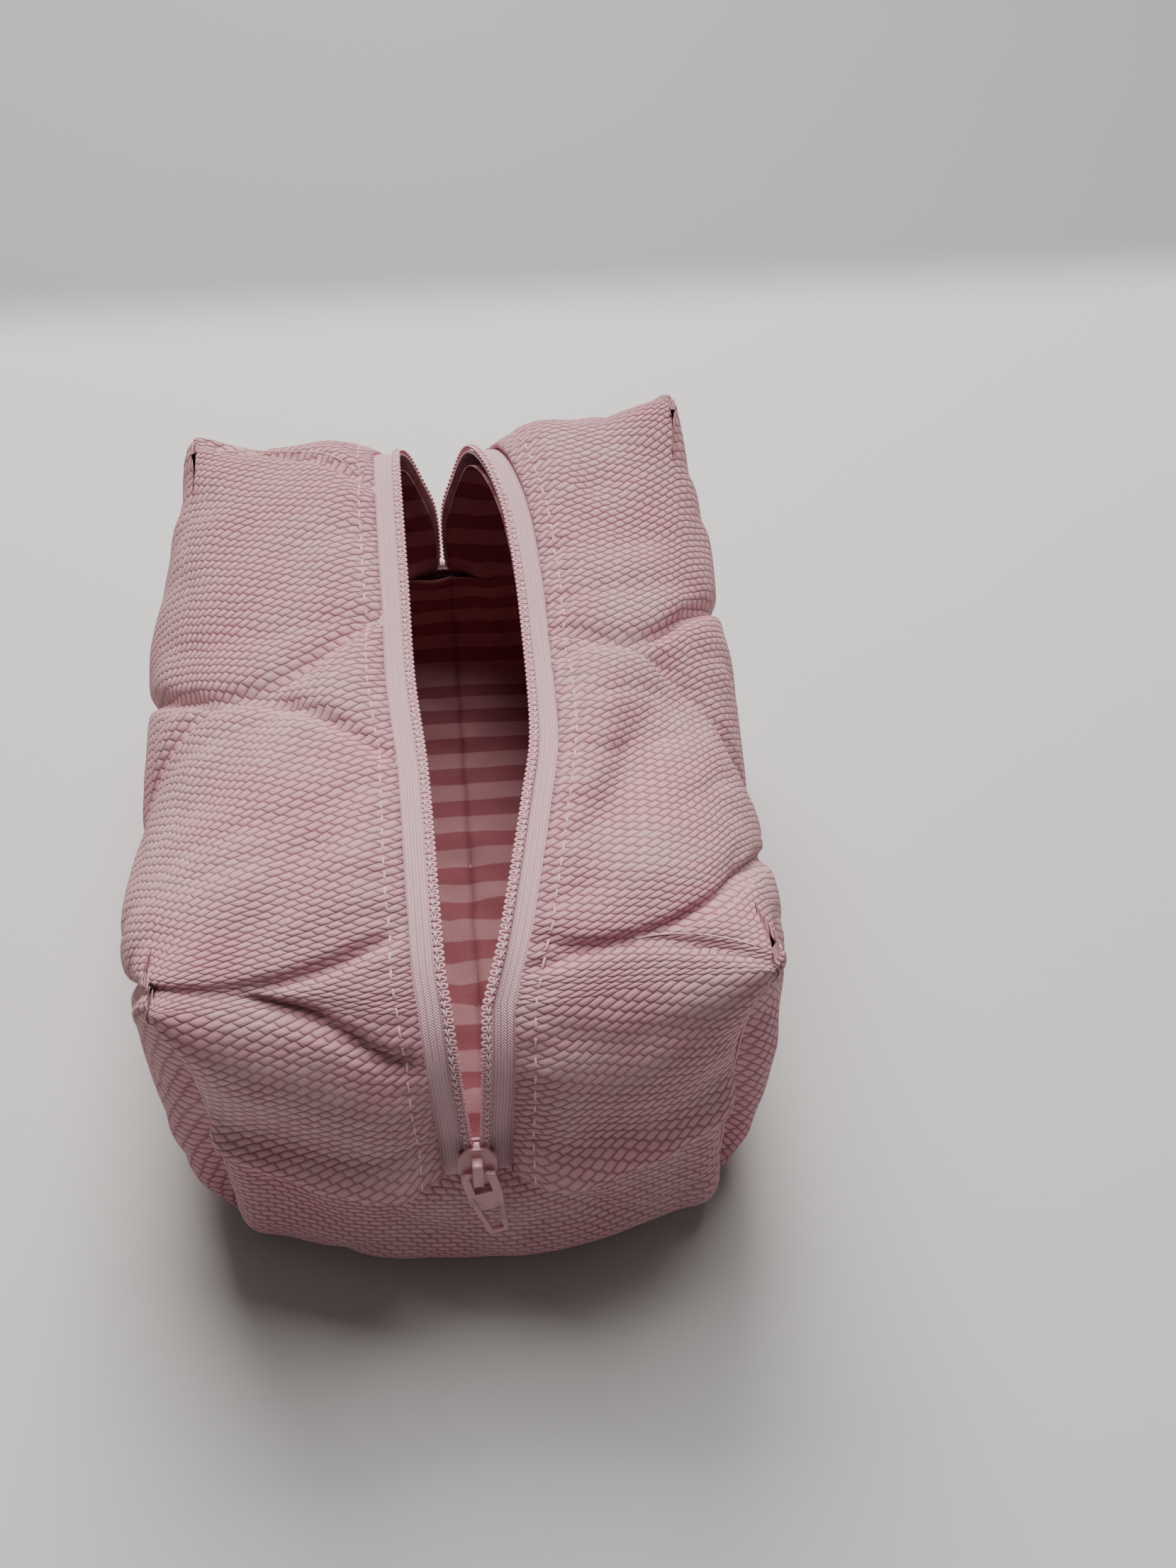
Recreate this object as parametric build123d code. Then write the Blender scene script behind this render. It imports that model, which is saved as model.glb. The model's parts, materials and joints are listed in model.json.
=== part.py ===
"""Soft boxed make-up bag with a lengthwise coil zip, modelled as it is sewn together.

Millimetres, +Z up.  +X is to the right of someone facing the slider end, and +Y runs from the slider
end to the far end.  The bag is drawn about the middle of its base.  The last step moves it so that the
origin is at the bottom centre of the whole part, with the hanging pull tab.

The cloth, wadding and lining are nested shells of one soft shape.  A depth is measured inwards from the
outer face of the cloth.  A reach is measured sideways from the edge of the open zip.
"""

import os
from functools import lru_cache
from math import cos, pi, radians, sin

from build123d import *

# ---- overall shape of the filled bag -------------------------------------------------------------------
corner_length = 182.0  # between the boxed corners, lengthwise
corner_width = 125.0  # between the boxed corners, crosswise
bag_height = 104.0  # from the base to the highest part of the top
top_dip = 5.0  # how far the top sags in the middle of its length
side_bulge = 19.0  # how far each long side swells past the corners
near_bulge = 19.0  # how far the slider end swells past its corners
far_bulge = 8.0  # the same at the far end
end_rounding = 18.0  # length, inside the corners, over which the ends start to round
nose_narrowing = 0.36  # share of the width lost at the very end
nose_lowering = 0.40  # share of the height lost there
base_flattening = 4.0  # how much of the round underside is pressed flat by the table
side_squareness = 3.0  # exponent of the rounded section at mid length
end_squareness = 5.5  # exponent of the boxier section at the corners
seam_height = 45.0  # crosswise seam on each end face, above the base
lip_tilt = 20.0  # lean of the end face above that seam, in degrees from upright

# ---- layers and threads --------------------------------------------------------------------------------
cloth_thickness = 1.4
wadding_thickness = 3.0
lining_thickness = 0.6
lining_seam_offset = 3.0  # from the middle of the floor to the lining's seam
thread_width = 0.5
thread_proud = 0.25  # how far a thread stands out of the cloth
corner_seam_inset = 6.0  # from the corner's full width in to its upright seam
corner_seam_top = 84.0
quilt_spacing = 62.0  # between neighbouring quilting waves
quilt_swing = 12.0  # how far a wave swings each way
quilt_length = 80.0  # one full wave, crosswise
quilt_foot = 12.0  # height at which the waves sink out of sight towards the base
quilt_spare = 8.0  # how far a wave is drawn past the fullest width
QUILT_STEPS = 8  # points of a wave on each side of the middle

# ---- zip ------------------------------------------------------------------------------------------------
tape_thickness = 0.6
tape_width = 12.0
tape_reveal = 5.5  # tape that shows between its edge and the folded cloth
coil_width = 2.4
coil_overhang = 0.6  # how far the coil stands past the tape's edge
coil_inset = 0.1  # coil's crown below the face of the cloth
coil_thread_place = 0.9  # from the tape's edge to the chain stitch that holds the coil
topstitch_inset = 3.6  # from the folded cloth edge to the row of stitches
meshed_reach = 0.65  # tape edge to the middle line where the coils mesh, below the slider
spread_reach = 1.9  # the same where they leave the slider's head
mouth_left = 9.2  # widest reach of the open mouth to the left of the middle
mouth_right = 20.8  # and to the right
mouth_far = 10.0  # at the far top edge, each side
mouth_tip = 1.6  # at the far seam, each side
mouth_drawn_half_length = 91.0  # half length of the bag that the mouth's places below are drawn for
mouth_start = -85.0  # where both tapes have come off the end face
mouth_start_reach = {-1: 3.6, 1: 5.0}
mouth_bend = {-1: (5.2, -43.0), 1: (11.4, -53.0)}
mouth_fullest = {-1: 50.0, 1: -2.0}
mouth_slack = 1.0  # how much narrower the mouth is at its second full place
mouth_second = {-1: 4.0, 1: 38.0}

# ---- slider, drawn flat: +Y to its head, the tape's middle plane at height 0 ------------------------------
slider_seat = 8.5  # from the end seam up the end face to the slider's middle
slider_length = 10.4
slider_width = 8.8
slider_tail_width = 6.4
plate_thickness = 0.9
channel_above = 1.9  # from the tape's middle to the upper plate
channel_below = 0.7  # and to the lower plate
flange_width = 0.55
flange_head_opening = 4.2  # length at the head where the flanges leave room for the spreading coils
flange_tail_opening = 2.2  # length at the tail where they end, short of the meshed coils
upper_flange_gap = 0.5  # from the tape's middle to the upper flange
lower_flange_height = 0.25
post_width = 1.5
post_length = 3.2
crown_front = -3.4
crown_back = 3.0
crown_width = 2.4
crown_height = 3.2
crown_wall = 0.8
pin_width = 1.0
pin_length = 0.9
pin_front = 0.2
pin_tip_height = 1.2  # above the tape's middle
leaf_width = 1.4
leaf_length = 1.9
leaf_thickness = 0.4
leaf_height = 4.1
pin_clearance = 0.15

# ---- pull tab, drawn flat and hanging along -Y from its bar ------------------------------------------------
tab_length = 20.0
tab_yoke_width = 8.0
tab_tip_width = 4.6
tab_thickness = 1.3
tab_rim = 1.0
tab_web_thickness = 0.6
tab_yoke_depth = 5.2
tab_yoke_opening = 4.2
tab_bridge = 0.9
tab_web_length = 5.0
tab_bar_diameter = 1.1
tab_bar_place = -1.5  # along the slider
tab_bar_height = 4.0  # above the tape's middle
tab_slope = 5.0  # degrees between the resting tab and the zip's plane
tab_lean = 12.0  # degrees that it hangs askew, loose on its crown
tab_top = 0.9  # arms above the bar's centre
tab_knuckle_clearance = 0.12  # between the arms' round ends and the slider as the tab swings

# ---- worked out --------------------------------------------------------------------------------------------
half_length = corner_length / 2
corner_half_width = corner_width / 2
near_nose = half_length + near_bulge
far_nose = half_length + far_bulge
lining_depth = cloth_thickness + wadding_thickness
cavity_depth = lining_depth + lining_thickness
tape_middle = cloth_thickness + tape_thickness / 2
lip = radians(lip_tilt)
crown_base = channel_above + plate_thickness
tab_knuckle_radius = tab_bar_height - crown_base - tab_knuckle_clearance
LEFT = -1
RIGHT = 1
SIDES = {"left": LEFT, "right": RIGHT}
ENDS = {"near": -1, "far": 1}
NOSES = {-1: near_nose, 1: far_nose}
AMPLE = 3 * (near_nose + far_nose)  # larger than the bag, for trimming
SECTION_POINTS = 24
STATIONS = 13


# ---- the soft shape -----------------------------------------------------------------------------------------
def round_section(y, half_width, bottom, top, squareness):
    """Closed rounded-box outline in the plane across the bag at y."""
    middle = (top + bottom) / 2
    half_height = (top - bottom) / 2
    points = []
    for step in range(SECTION_POINTS):
        angle = 2 * pi * (step + 0.5) / SECTION_POINTS - pi / 2
        size = (abs(cos(angle)) ** squareness + abs(sin(angle)) ** squareness) ** (-1 / squareness)
        points.append((half_width * size * cos(angle), y, middle + half_height * size * sin(angle)))
    spacing = [step / SECTION_POINTS for step in range(SECTION_POINTS + 1)]
    return Face(Wire(Edge.make_spline(points, periodic=True, parameters=spacing)))


@lru_cache(maxsize=None)
def envelope(depth):
    """Solid bounded by the soft shape, moved inwards by depth."""
    sections = []
    for station in range(STATIONS):
        y = -near_nose + (near_nose + far_nose) * station / (STATIONS - 1)
        nose = NOSES[-1] if y < 0 else NOSES[1]
        rounding_start = half_length - end_rounding
        rounding = max(0.0, (abs(y) - rounding_start) / (nose - rounding_start)) ** 3
        width_share = 1 - nose_narrowing * rounding
        height_share = 1 - nose_lowering * rounding
        fullness = 1 - min(1.0, abs(y) / half_length) ** 2
        half_width = (corner_half_width + side_bulge * fullness) * width_share - depth
        top = bag_height - top_dip * fullness
        waist = top / 2
        top = waist + (top - waist) * height_share - depth
        bottom = waist - (waist + base_flattening) * height_share + depth
        squareness = end_squareness + (side_squareness - end_squareness) * fullness
        sections.append(round_section(y * (nose - depth) / nose, half_width, bottom, top, squareness))
    soft = loft(sections) & slab_above(depth)
    for end in ENDS.values():
        soft &= lip_side(end, depth)
    return soft


def slab_above(height):
    """Everything above a height."""
    return Pos(0, 0, height + AMPLE / 2) * Box(AMPLE, AMPLE, AMPLE)


def lip_side(end, depth):
    """Everything inside the leaning plane of one end face, moved inwards by depth."""
    edge = Pos(0, end * NOSES[end], seam_height) * Rot(X=end * lip_tilt)
    return edge * Pos(0, -end * (depth + AMPLE / 2), 0) * Box(AMPLE, AMPLE, AMPLE)


def layer(cutter, outer_depth, inner_depth):
    """The part of the soft shape between two depths that lies in the cutter."""
    return (envelope(outer_depth) & cutter) - envelope(inner_depth)


# ---- the mouth in plan ------------------------------------------------------------------------------------------
def mouth_curve(side, reach):
    """Edge of one zip tape in plan, moved away from the mouth by reach."""
    stretch = half_length / mouth_drawn_half_length
    tail_y = -near_nose + (slider_seat - slider_length / 2) * sin(lip)
    head_y = -near_nose + (slider_seat + slider_length / 2) * sin(lip)
    widest = mouth_left if side == LEFT else mouth_right
    full_places = sorted([(mouth_fullest[side], widest), (mouth_second[side], widest - mouth_slack)])
    middle = [(mouth_start_reach[side], mouth_start), mouth_bend[side]]
    middle += [(across, y) for y, across in full_places]
    meshed = [(meshed_reach, tail_y - near_bulge), (meshed_reach, tail_y), (spread_reach, head_y)]
    open_part = [(across, y * stretch) for across, y in middle] + [(mouth_far, half_length - 2.0)]
    far_part = [(mouth_tip, far_nose - 1.0), (mouth_tip, far_nose + far_bulge)]
    meshed, open_part, far_part = (
        [(side * (across + reach), y) for across, y in stretch_points]
        for stretch_points in (meshed, open_part, far_part)
    )
    swept = Spline([meshed[-1]] + open_part + far_part[:1])
    return [Line(meshed[0], meshed[1]), Line(meshed[1], meshed[2]), swept, Line(far_part[0], far_part[1])]


def prism_between(first, second, foot, height=AMPLE):
    """Upright prism whose plan lies between two chains of edges that run the same way."""
    near_closing = Line(first[0] @ 0, second[0] @ 0)
    far_closing = Line(first[-1] @ 1, second[-1] @ 1)
    plan = make_face([*first, *second, near_closing, far_closing])
    return Pos(0, 0, foot) * extrude(plan, amount=height, dir=(0, 0, 1))


@lru_cache(maxsize=None)
def band(side, inner, outer):
    """Upright prism between two reaches on one side, from the end seams up."""
    return prism_between(mouth_curve(side, inner), mouth_curve(side, outer), seam_height)


@lru_cache(maxsize=None)
def mouth_prism(reach):
    """Upright prism over the whole mouth, widened by reach on both sides."""
    return prism_between(mouth_curve(LEFT, reach), mouth_curve(RIGHT, reach), seam_height)


def only_solids(*shapes):
    """One compound of all the solids in the shapes."""
    return Compound([solid for shape in shapes for solid in shape.solids()])


# ---- cloth, wadding and lining --------------------------------------------------------------------------------------
def outer_cloth():
    """Face cloth, one piece from one side of the zip round the base to the other side."""
    return envelope(0.0) - envelope(cloth_thickness) - mouth_prism(tape_reveal)


def wadding():
    """Quilt wadding behind the cloth, stopping short of the zip tapes."""
    stop = tape_width + thread_width
    return envelope(cloth_thickness) - envelope(lining_depth) - mouth_prism(stop)


def lining(side):
    """One half of the loose lining, from its floor seam up to the mouth."""
    half = Pos(lining_seam_offset + side * AMPLE / 2, 0, 0) * Box(AMPLE, AMPLE, AMPLE)
    return layer(half, lining_depth, cavity_depth) - mouth_prism(tape_reveal)


def lining_floor_seam():
    """Row of thread along the lining's floor, inside the bag."""
    strip = Pos(lining_seam_offset, 0, cavity_depth) * Box(thread_width, corner_length * 0.9, cavity_depth)
    return layer(strip, cavity_depth, cavity_depth + thread_proud)


# ---- threads ------------------------------------------------------------------------------------------------------------
def on_surface(cutter):
    """A thread's thickness standing on the cloth where the cutter meets it."""
    return layer(cutter, -thread_proud, 0.0)


def quilting_thread():
    """Waves of quilting that cross the bag in pairs, swinging opposite ways."""
    reach = corner_half_width + side_bulge + thread_width + quilt_spare
    clear_of_zip = mouth_prism(tape_reveal + topstitch_inset + 2 * thread_width)
    across = [reach * (step / QUILT_STEPS - 1) for step in range(2 * QUILT_STEPS + 1)]
    pairs = []
    for place in (-quilt_spacing, 0.0, quilt_spacing):
        waves = []
        for swing in (-quilt_swing, quilt_swing):
            line = Spline([(x, place + swing * sin(2 * pi * x / quilt_length)) for x in across])
            waves.append(prism_between([line], [Pos(0, thread_width, 0) * line], quilt_foot))
        pairs.append(on_surface(waves[0] + waves[1] - clear_of_zip))
    return only_solids(*pairs)


def end_seam(end):
    """Thread of the crosswise seam on one end face."""
    reach = NOSES[end]
    width = corner_width - 2 * corner_seam_inset
    depth = 2 * (reach - half_length) + end_rounding
    slot = Pos(0, end * reach, seam_height - thread_width / 2) * Box(width, depth, thread_width)
    return on_surface(slot)


def corner_seams():
    """Upright threads of the four boxed corners."""
    x = corner_half_width - corner_seam_inset + thread_width
    height = corner_seam_top - quilt_foot
    seams = []
    for end in ENDS.values():
        for side in SIDES.values():
            y = end * (half_length + end_rounding / 2)
            slot = Pos(side * x, y, quilt_foot + height / 2) * Box(thread_width, 1.5 * end_rounding, height)
            seams.append(on_surface(slot))
    return only_solids(*seams)


def topstitch(side):
    """Row of thread that holds the folded cloth edge to the zip tape."""
    inner = tape_reveal + topstitch_inset
    return on_surface(band(side, inner, inner + thread_width))


# ---- zip -------------------------------------------------------------------------------------------------------------------
def zip_tape(side):
    """Woven tape that carries the coil, half of it under the folded cloth."""
    return layer(band(side, 0.0, tape_width), cloth_thickness, cloth_thickness + tape_thickness)


def zip_coil(side):
    """Outer shape of the nylon coil, along the tape's edge."""
    return layer(band(side, -coil_overhang, coil_width - coil_overhang), coil_inset, cloth_thickness)


def coil_stitching(side):
    """Chain stitch along the top of the coil."""
    row = band(side, coil_thread_place, coil_thread_place + thread_width)
    return layer(row, coil_inset - thread_proud, coil_inset)


def slider_seated(shape):
    """Puts a shape drawn flat in its place on the slider end, square to the leaning lip."""
    y = -near_nose + slider_seat * sin(lip) + tape_middle * cos(lip)
    z = seam_height + slider_seat * cos(lip) - tape_middle * sin(lip)
    return Pos(0, y, z) * Rot(X=90 - lip_tilt) * shape


def slider_outline(inset):
    """Plan of the slider: round wings at the head and a narrower tail."""
    half = slider_length / 2
    corners = [(slider_tail_width / 2, -half), (slider_width / 2, -half * 0.15), (slider_width / 2, half * 0.55)]
    corners += [(slider_width / 4, half), (-slider_width / 4, half)]
    corners += [(-x, y) for x, y in reversed(corners[:3])]
    plan = make_face(Polyline(*corners, close=True))
    plan = fillet(plan.vertices(), slider_width / 8)
    return offset(plan, -inset) if inset else plan


def slider_body():
    """Cast body: two plates, the dividing post between them and the side flanges."""
    plan = slider_outline(0.0)
    upper = Pos(0, 0, channel_above) * extrude(plan, plate_thickness)
    lower = Pos(0, 0, -channel_below - plate_thickness) * extrude(plan, plate_thickness)
    rim = plan - slider_outline(flange_width)
    throat = Rectangle(slider_tail_width - 2 * flange_width, slider_length * 2)
    head = Pos(0, slider_length / 2) * Rectangle(slider_width - 2 * flange_width, 2 * flange_head_opening)
    tail = Pos(0, -slider_length / 2) * Rectangle(2 * slider_width, 2 * flange_tail_opening)
    flanges = rim - throat - head - tail
    upper_flange = Pos(0, 0, upper_flange_gap) * extrude(flanges, channel_above - upper_flange_gap)
    lower_flange = Pos(0, 0, -channel_below) * extrude(flanges, lower_flange_height)
    post_height = channel_above + channel_below
    post_place = Pos(0, slider_length / 2 - post_length / 2 - flange_width, (channel_above - channel_below) / 2)
    post = post_place * Box(post_width, post_length, post_height)
    hole_place = Pos(0, pin_front + pin_length / 2, channel_above + plate_thickness / 2)
    hole = hole_place * Box(pin_width + 2 * pin_clearance, pin_length + 2 * pin_clearance, 2 * plate_thickness)
    return slider_seated(upper + lower + upper_flange + lower_flange + post - hole)


def slider_crown():
    """Bridge over the slider that the tab's bar passes under."""
    length = crown_back - crown_front
    middle = (crown_back + crown_front) / 2
    outer = Pos(0, middle, crown_base + crown_height / 2) * Box(crown_width, length, crown_height)
    outer = fillet(outer.edges().filter_by(Axis.X).group_by(Axis.Z)[-1], crown_wall)
    clear = crown_height - crown_wall
    window = Pos(0, middle, crown_base + clear / 2) * Box(2 * crown_width, length - 2 * crown_wall, clear)
    return slider_seated(outer - window)


def lock_pin():
    """Spring leaf under the crown, with the pin that drops between the coils."""
    leaf_middle = pin_front + leaf_length / 2
    leaf = Pos(0, leaf_middle, leaf_height + leaf_thickness / 2) * Box(leaf_width, leaf_length, leaf_thickness)
    height = leaf_height - pin_tip_height
    pin = Pos(0, pin_front + pin_length / 2, pin_tip_height + height / 2) * Box(pin_width, pin_length, height)
    return slider_seated(leaf + pin)


def tab_plate():
    """Flat yoke, rim and web of the pull tab, without its bar."""
    yoke_end = -tab_yoke_depth - tab_bridge
    tip = -tab_length + tab_top
    half_yoke = tab_yoke_width / 2
    half_tip = tab_tip_width / 2
    corners = [(-half_yoke, tab_top), (half_yoke, tab_top), (half_yoke, yoke_end), (half_tip, tip)]
    corners += [(-half_tip, tip), (-half_yoke, yoke_end)]
    plan = fillet(make_face(Polyline(*corners, close=True)).vertices(), tab_rim)
    inner = [(-half_yoke + tab_rim, yoke_end), (half_yoke - tab_rim, yoke_end)]
    inner += [(half_tip - tab_rim, tip + tab_rim), (-half_tip + tab_rim, tip + tab_rim)]
    window = make_face(Polyline(*inner, close=True))
    yoke = Pos(0, tab_top - (tab_top + tab_yoke_depth) / 2) * Rectangle(
        tab_yoke_opening, tab_top + tab_yoke_depth
    )
    rim = extrude(plan - window - yoke, tab_thickness / 2, both=True)
    web_cut = Pos(0, yoke_end - tab_web_length / 2) * Rectangle(tab_yoke_width, tab_web_length)
    web = extrude(window & web_cut, tab_web_thickness / 2, both=True)
    return rim + web


def pull_tab():
    """Pull tab hanging from its round bar, askew by its lean."""
    bar = Rot(Y=90) * Cylinder(tab_bar_diameter / 2, tab_yoke_opening + tab_rim)
    past_bar = Pos(0, tab_length / 2, 0) * Box(tab_length, tab_length, tab_length)
    knuckles = Rot(Y=90) * Cylinder(tab_knuckle_radius, tab_length)
    tab = Rot(Z=tab_lean) * tab_plate() - (past_bar - knuckles) + bar
    return slider_seated(Pos(0, tab_bar_place, tab_bar_height) * Rot(X=tab_slope) * tab)


# ---- assembly ---------------------------------------------------------------------------------------------------------------
def assemble():
    """Every node of the bag by name, drawn about the middle of its base."""
    nodes = {
        "outer_cloth": outer_cloth(),
        "wadding": wadding(),
        "lining_floor_seam": lining_floor_seam(),
        "quilting_thread": quilting_thread(),
        "corner_seam_threads": corner_seams(),
        "slider_body": slider_body(),
        "slider_crown": slider_crown(),
        "lock_pin": lock_pin(),
        "pull_tab": pull_tab(),
    }
    for name, side in SIDES.items():
        nodes[f"lining_{name}"] = lining(side)
        nodes[f"zip_tape_{name}"] = zip_tape(side)
        nodes[f"zip_coil_{name}"] = zip_coil(side)
        nodes[f"coil_stitching_{name}"] = coil_stitching(side)
        nodes[f"topstitch_{name}"] = topstitch(side)
    for name, end in ENDS.items():
        nodes[f"{name}_end_seam_thread"] = end_seam(end)
    return nodes


def write_nodes(nodes):
    """Centres the whole part over the origin and writes one STEP file per node."""
    whole = only_solids(*nodes.values()).bounding_box()
    home = Pos(-whole.center().X, -whole.center().Y, -whole.min.Z)
    os.makedirs("parts", exist_ok=True)
    for name, shape in nodes.items():
        node = only_solids(home * shape)
        node.label = name
        export_step(node, f"parts/{name}.step")


write_nodes(assemble())
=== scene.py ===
"""Looks of a soft boxed make-up bag: quilted cloth, striped lining, coil zip and painted slider.

Lengths in the classes are millimetres in the bag's own frame, whose origin is at the middle of the base.
`BagForm.place` turns them into metres in the row frame.
"""

import json
import logging
from dataclasses import dataclass, field
from enum import Enum
from math import cos, exp, pi, radians, sin, sqrt
from typing import Callable, Union

import bmesh
import bpy
from mathutils import Matrix, Vector, noise

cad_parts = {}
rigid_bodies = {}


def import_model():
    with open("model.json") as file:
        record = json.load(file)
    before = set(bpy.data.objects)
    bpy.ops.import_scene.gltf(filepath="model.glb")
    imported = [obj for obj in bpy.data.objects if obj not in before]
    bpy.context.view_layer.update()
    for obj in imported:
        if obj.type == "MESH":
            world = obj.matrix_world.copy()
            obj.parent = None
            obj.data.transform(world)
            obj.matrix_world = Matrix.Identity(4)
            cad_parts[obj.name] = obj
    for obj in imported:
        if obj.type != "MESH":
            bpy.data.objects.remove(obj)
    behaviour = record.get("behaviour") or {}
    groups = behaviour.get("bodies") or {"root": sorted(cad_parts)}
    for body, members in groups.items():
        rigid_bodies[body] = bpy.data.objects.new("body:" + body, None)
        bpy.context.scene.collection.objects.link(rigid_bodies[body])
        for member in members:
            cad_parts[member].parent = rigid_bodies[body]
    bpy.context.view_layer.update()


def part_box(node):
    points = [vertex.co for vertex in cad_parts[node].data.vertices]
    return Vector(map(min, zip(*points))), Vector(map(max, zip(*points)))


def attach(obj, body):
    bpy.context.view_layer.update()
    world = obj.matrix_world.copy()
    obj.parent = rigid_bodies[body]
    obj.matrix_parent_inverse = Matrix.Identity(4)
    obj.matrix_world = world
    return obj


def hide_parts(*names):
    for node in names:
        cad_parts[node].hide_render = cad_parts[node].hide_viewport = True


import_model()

MM = 0.001
log = logging.getLogger("makeup_bag")


# ---- small helpers -----------------------------------------------------------------------
def linear(code: str) -> tuple[float, float, float, float]:
    """Turns an sRGB hex colour into linear RGBA.

    Args:
        code: six hex digits, such as "E9C3C9".

    Returns:
        The linear colour with full alpha.
    """
    values = [int(code[i : i + 2], 16) / 255 for i in (0, 2, 4)]
    values = [v / 12.92 if v <= 0.04045 else ((v + 0.055) / 1.055) ** 2.4 for v in values]
    return (*values, 1.0)


def hill(distance: float, width: float) -> float:
    """Bell-shaped weight that is 1 at no distance."""
    return exp(-((distance / width) ** 2))


def mix(low: float, high: float, share: float) -> float:
    """Value between low and high."""
    return low + (high - low) * share


def ease(value: float) -> float:
    """Smooth step of a value held between 0 and 1."""
    value = min(1.0, max(0.0, value))
    return value * value * (3 - 2 * value)


@dataclass(frozen=True)
class Curve:
    """Smooth line through a few points, one value for each place."""

    places: tuple[float, ...]
    values: tuple[float, ...]

    def at(self, place: float) -> float:
        """Value at a place, eased through the points by Catmull-Rom.

        Args:
            place: where on the line, held between its ends.

        Returns:
            The value there.
        """
        xs, ys = self.places, self.values
        if place <= xs[0]:
            return ys[0]
        if place >= xs[-1]:
            return ys[-1]
        i = max(k for k in range(len(xs) - 1) if xs[k] <= place)
        span = xs[i + 1] - xs[i]
        t = (place - xs[i]) / span
        before, after = max(i - 1, 0), min(i + 2, len(xs) - 1)
        m0 = (ys[i + 1] - ys[before]) / (xs[i + 1] - xs[before]) * span
        m1 = (ys[after] - ys[i]) / (xs[after] - xs[i]) * span
        a, b = 2 * t**3 - 3 * t**2 + 1, t**3 - 2 * t**2 + t
        return a * ys[i] + b * m0 + (3 * t**2 - 2 * t**3) * ys[i + 1] + (t**3 - t**2) * m1


# ---- materials ---------------------------------------------------------------------------
Feed = Union[bpy.types.Node, bpy.types.NodeSocket, float, tuple]
ADD = {"operation": "ADD"}
SUBTRACT = {"operation": "SUBTRACT"}
MULTIPLY = {"operation": "MULTIPLY"}
DIVIDE = {"operation": "DIVIDE"}
MODULO = {"operation": "FLOORED_MODULO"}
FLOOR = {"operation": "FLOOR"}
FRACT = {"operation": "FRACT"}
SINE = {"operation": "SINE"}
COLOURS = {"data_type": "RGBA"}


def add(
    tree: bpy.types.NodeTree, kind: str, settings: dict[str, str] | None = None, **links: Feed
) -> bpy.types.Node:
    """Adds one shader node, with its settings and what feeds it.

    Args:
        tree: the material's node tree.
        kind: the node's type name without "ShaderNode".
        settings: properties of the node.
        links: input by name, or by "i" and its number. Each is a socket, a value, or a node, which then
            feeds its first output.

    Returns:
        The new node.
    """
    node = tree.nodes.new("ShaderNode" + kind)
    for key, value in (settings or {}).items():
        setattr(node, key, value)
    for key, value in links.items():
        numbered = key[0] == "i" and key[1:].isdigit()
        socket = node.inputs[int(key[1:]) if numbered else key.replace("_", " ")]
        if isinstance(value, bpy.types.Node):
            value = value.outputs[0]
        if isinstance(value, bpy.types.NodeSocket):
            tree.links.new(value, socket)
        else:
            socket.default_value = value
    return node


def new_material(name: str) -> tuple[bpy.types.Material, bpy.types.NodeTree]:
    """Empty node material with its tree."""
    material = bpy.data.materials.new(name)
    material.use_nodes = True
    material.node_tree.nodes.clear()
    return material, material.node_tree


def finish_material(tree: bpy.types.NodeTree, **links: Feed) -> None:
    """Adds the Principled shader and the output."""
    shader = add(tree, "BsdfPrincipled", **links)
    add(tree, "OutputMaterial", Surface=shader)


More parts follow.
